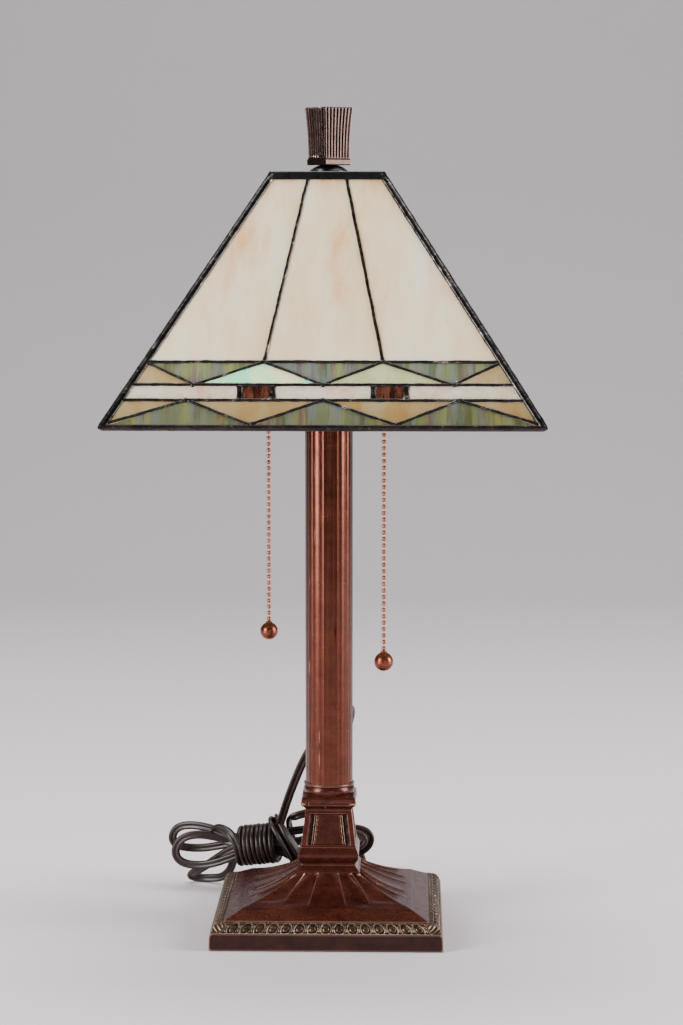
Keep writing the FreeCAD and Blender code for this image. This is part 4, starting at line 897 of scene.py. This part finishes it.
def cord_places():
    """Every place the cord goes through, in order, and which way its flat side looks there."""
    coiled = [
        LEAD, in_core(20, True), FAN_1, in_core(-95, False), END_1, in_core(-38, True), FAN_2, in_core(142, False),
        END_2, in_core(82, True), FAN_3, in_core(205, False), END_3, in_core(0, True, 0.3), TURN_BACK,
    ]
    stretches = [(points, FRONT) for points in coiled]
    stretches += [(wraps(), tuple(ALONG)), (KNOT, (0.8, -0.55, 0.2)), (TAIL, FRONT)]
    places, looks = [], []
    for points, look in stretches:
        places += list(points)
        looks += [look] * len(points)
    return places, np.array(looks, float)


def spline_points(places):
    """The points of one smooth curve through the route's control points."""
    curve = bpy.data.curves.new("cord_line", "CURVE")
    curve.dimensions = "3D"
    spline = curve.splines.new("NURBS")
    spline.points.add(len(places) - 1)
    for point, place in zip(spline.points, places):
        point.co = (place[0] * MM, place[1] * MM, place[2] * MM, 1.0)
    spline.order_u = 3
    spline.use_endpoint_u = True
    spline.resolution_u = 7
    holder = bpy.data.objects.new("cord_line", curve)
    SCENE.collection.objects.link(holder)
    bpy.context.view_layer.update()
    data = bpy.data.meshes.new_from_object(holder.evaluated_get(bpy.context.evaluated_depsgraph_get()))
    line = np.array([v.co for v in data.vertices]) / MM
    bpy.data.meshes.remove(data)
    bpy.data.objects.remove(holder)
    return line


def twin_section():
    """The outline (along the width, through the thickness) of a flat cord with a groove between its two wires."""
    points = []
    for k in range(28):
        angle = 2 * math.pi * k / 28
        w = HALF_WIDTH * math.cos(angle)
        lobe = math.sqrt(max(0.0, LOBE_RADIUS**2 - (abs(w) - LOBE_OFFSET) ** 2)) if abs(w) < HALF_WIDTH else 0.0
        t = max(lobe, WEB_HALF_THICK if abs(w) < WEB_HALF_WIDTH else 0.0)
        points.append((w, math.copysign(t, math.sin(angle)) if abs(math.sin(angle)) > 1e-6 else 0.0))
    return points


def make_cord():
    """The whole cord as one flat twin strand swept along the route, turning gradually from one look to the next."""
    places, looks = cord_places()
    line = spline_points(places)
    count = len(line)
    at = np.clip(np.linspace(0, len(places) - 2, count) + 0.5, 0, len(places) - 1)
    low = np.floor(at).astype(int)
    high = np.minimum(low + 1, len(places) - 1)
    look = looks[low] * (1 - (at - low))[:, None] + looks[high] * (at - low)[:, None]
    tangent = np.gradient(line, axis=0)
    tangent /= np.linalg.norm(tangent, axis=1)[:, None]
    for _ in range(12):
        look[1:-1] = (look[:-2] + 2 * look[1:-1] + look[2:]) / 4
    flat = look - (look * tangent).sum(1)[:, None] * tangent
    short = np.linalg.norm(flat, axis=1)
    for i in range(1, count):
        if short[i] < 0.35 or flat[i] @ flat[i - 1] < 0:
            flat[i] = flat[i - 1] - (flat[i - 1] @ tangent[i]) * tangent[i]
        flat[i] /= np.linalg.norm(flat[i])
    flat[0] /= np.linalg.norm(flat[0])
    for _ in range(10):
        flat[1:-1] = (flat[:-2] + 2 * flat[1:-1] + flat[2:]) / 4
    flat -= (flat * tangent).sum(1)[:, None] * tangent
    flat /= np.linalg.norm(flat, axis=1)[:, None]
    wide = np.cross(tangent, flat)
    section = twin_section()
    verts = np.concatenate([line[:, None] + w * wide[:, None] + t * flat[:, None] for w, t in section], axis=1)
    verts[:, :, 2] = np.maximum(verts[:, :, 2], 0.2)
    cord = mesh_piece("cord", verts.reshape(-1, 3), tube_faces(count, len(section)), "root",
                      ["cord_lead", "cord_tail", "cord_hank"], "cord_vinyl", CORD, 65.0)
    plug = make_plug(line[-1], line[-1] - line[-4])


def make_plug(end, way):
    """The moulded plug: a ribbed strain relief, then a flattened grip with hollows for the fingers."""
    way = np.array((way[0], way[1], 0.0)) / math.hypot(way[0], way[1])
    side = np.array((-way[1], way[0], 0.0))
    points, steps, around = [], 60, 32
    for k in range(steps):
        d = 27.0 * k / (steps - 1)
        if d < 5.5:
            w, h = 3.4 + 0.16 * d + 0.5 * math.cos(d * 4.2), 3.0 + 0.16 * d + 0.4 * math.cos(d * 4.2)
        else:
            grow = min(1.0, (d - 5.5) / 2.5)
            grow = grow * grow * (3 - 2 * grow)
            w = 4.6 + 4.3 * grow - 1.1 * math.exp(-((d - 15.0) / 4.0) ** 2)
            h = 4.2 + 1.35 * grow + 0.25 * math.cos(d * 3.4) * (1 if 9 < d < 21 else 0)
        if k == steps - 1:
            w, h = w - 0.6, h - 0.6
        for m in range(around):
            angle = 2 * math.pi * m / around
            c, s = math.cos(angle), math.sin(angle)
            out = math.copysign(abs(c) ** 0.6, c) * w
            up = math.copysign(abs(s) ** 0.6, s) * h
            points.append(np.array(end) + way * d + side * out + np.array((0, 0, up)))
    return mesh_piece("plug", np.array(points), tube_faces(steps, around), "root", ["plug_body"], "plug_vinyl",
                      PLUG, 60.0)


# ---- Studio ----
def area_light(name, place, target, size, energy):
    data = bpy.data.lights.new(name, "AREA")
    data.shape = "RECTANGLE"
    data.size, data.size_y = size
    data.energy = energy
    made = bpy.data.objects.new(name, data)
    made.location = place
    made.rotation_euler = (Vector(target) - Vector(place)).to_track_quat("-Z", "Y").to_euler()
    SCENE.collection.objects.link(made)


def make_studio():
    """A seamless pale sweep, a soft box on each side, a wide one above and behind, and a weak fill in front."""
    line = [(y, 0.0) for y in np.linspace(-1.7, 1.6, 24)]
    line += [(1.6 + 1.2 * math.sin(k * math.pi / 48), 1.2 - 1.2 * math.cos(k * math.pi / 48)) for k in range(1, 25)]
    line += [(2.8, 1.2 + 0.4 * k) for k in range(1, 6)]
    verts = [(x, y, z) for y, z in line for x in (-4.0, 4.0)]
    faces = [(2 * i, 2 * i + 1, 2 * i + 3, 2 * i + 2) for i in range(len(line) - 1)]
    data = bpy.data.meshes.new("sweep")
    data.from_pydata(verts, [], faces)
    data.polygons.foreach_set("use_smooth", [True] * len(data.polygons))
    p = Paint("sweep_paper", rough=0.85)
    depth = p.node("ShaderNodeSeparateXYZ")
    p.link(p.coords, depth.inputs[0])
    # Darker towards the back and up the wall: painted shade for the light falling off there.
    paper_with_painted_falloff = p.mix(p.span(depth.outputs["Y"], 0.1, 2.6), (0.82, 0.75, 0.785), (0.45, 0.43, 0.444))
    p.put("Base Color", p.mix(p.span(p.noise(1.4, 3.0), 0.3, 0.7, 0.0, 0.05), paper_with_painted_falloff, (0.6, 0.56, 0.58)))
    p.bump(p.noise(700.0, 3.0), 0.00005, 0.3)
    data.materials.append(p.material)
    sweep = bpy.data.objects.new("sweep", data)
    SCENE.collection.objects.link(sweep)
    area_light("left_box", (-1.75, -1.25, 0.7), (0.0, 0.0, 0.3), (0.9, 1.7), 80.0)
    area_light("right_box", (2.0, -0.3, 0.8), (0.0, 0.0, 0.3), (0.9, 1.5), 62.0)
    area_light("back_box", (0.0, 0.5, 2.6), (0.0, 0.2, 0.0), (3.0, 1.2), 76.0)
    area_light("front_fill", (0.8, -3.4, 0.6), (0.0, 0.0, 0.35), (1.2, 0.8), 8.0)
    world = bpy.data.worlds.new("world")
    world.use_nodes = True
    world.node_tree.nodes["Background"].inputs["Color"].default_value = (0.62, 0.6, 0.62, 1.0)
    world.node_tree.nodes["Background"].inputs["Strength"].default_value = 0.14
    SCENE.world = world


make_cord()
make_base()
make_neck()
make_column()
make_shade()
make_finial()
for name in ("front", "back"):
    make_chain(name)
    make_bulb(name)
dress_hardware()
make_studio()
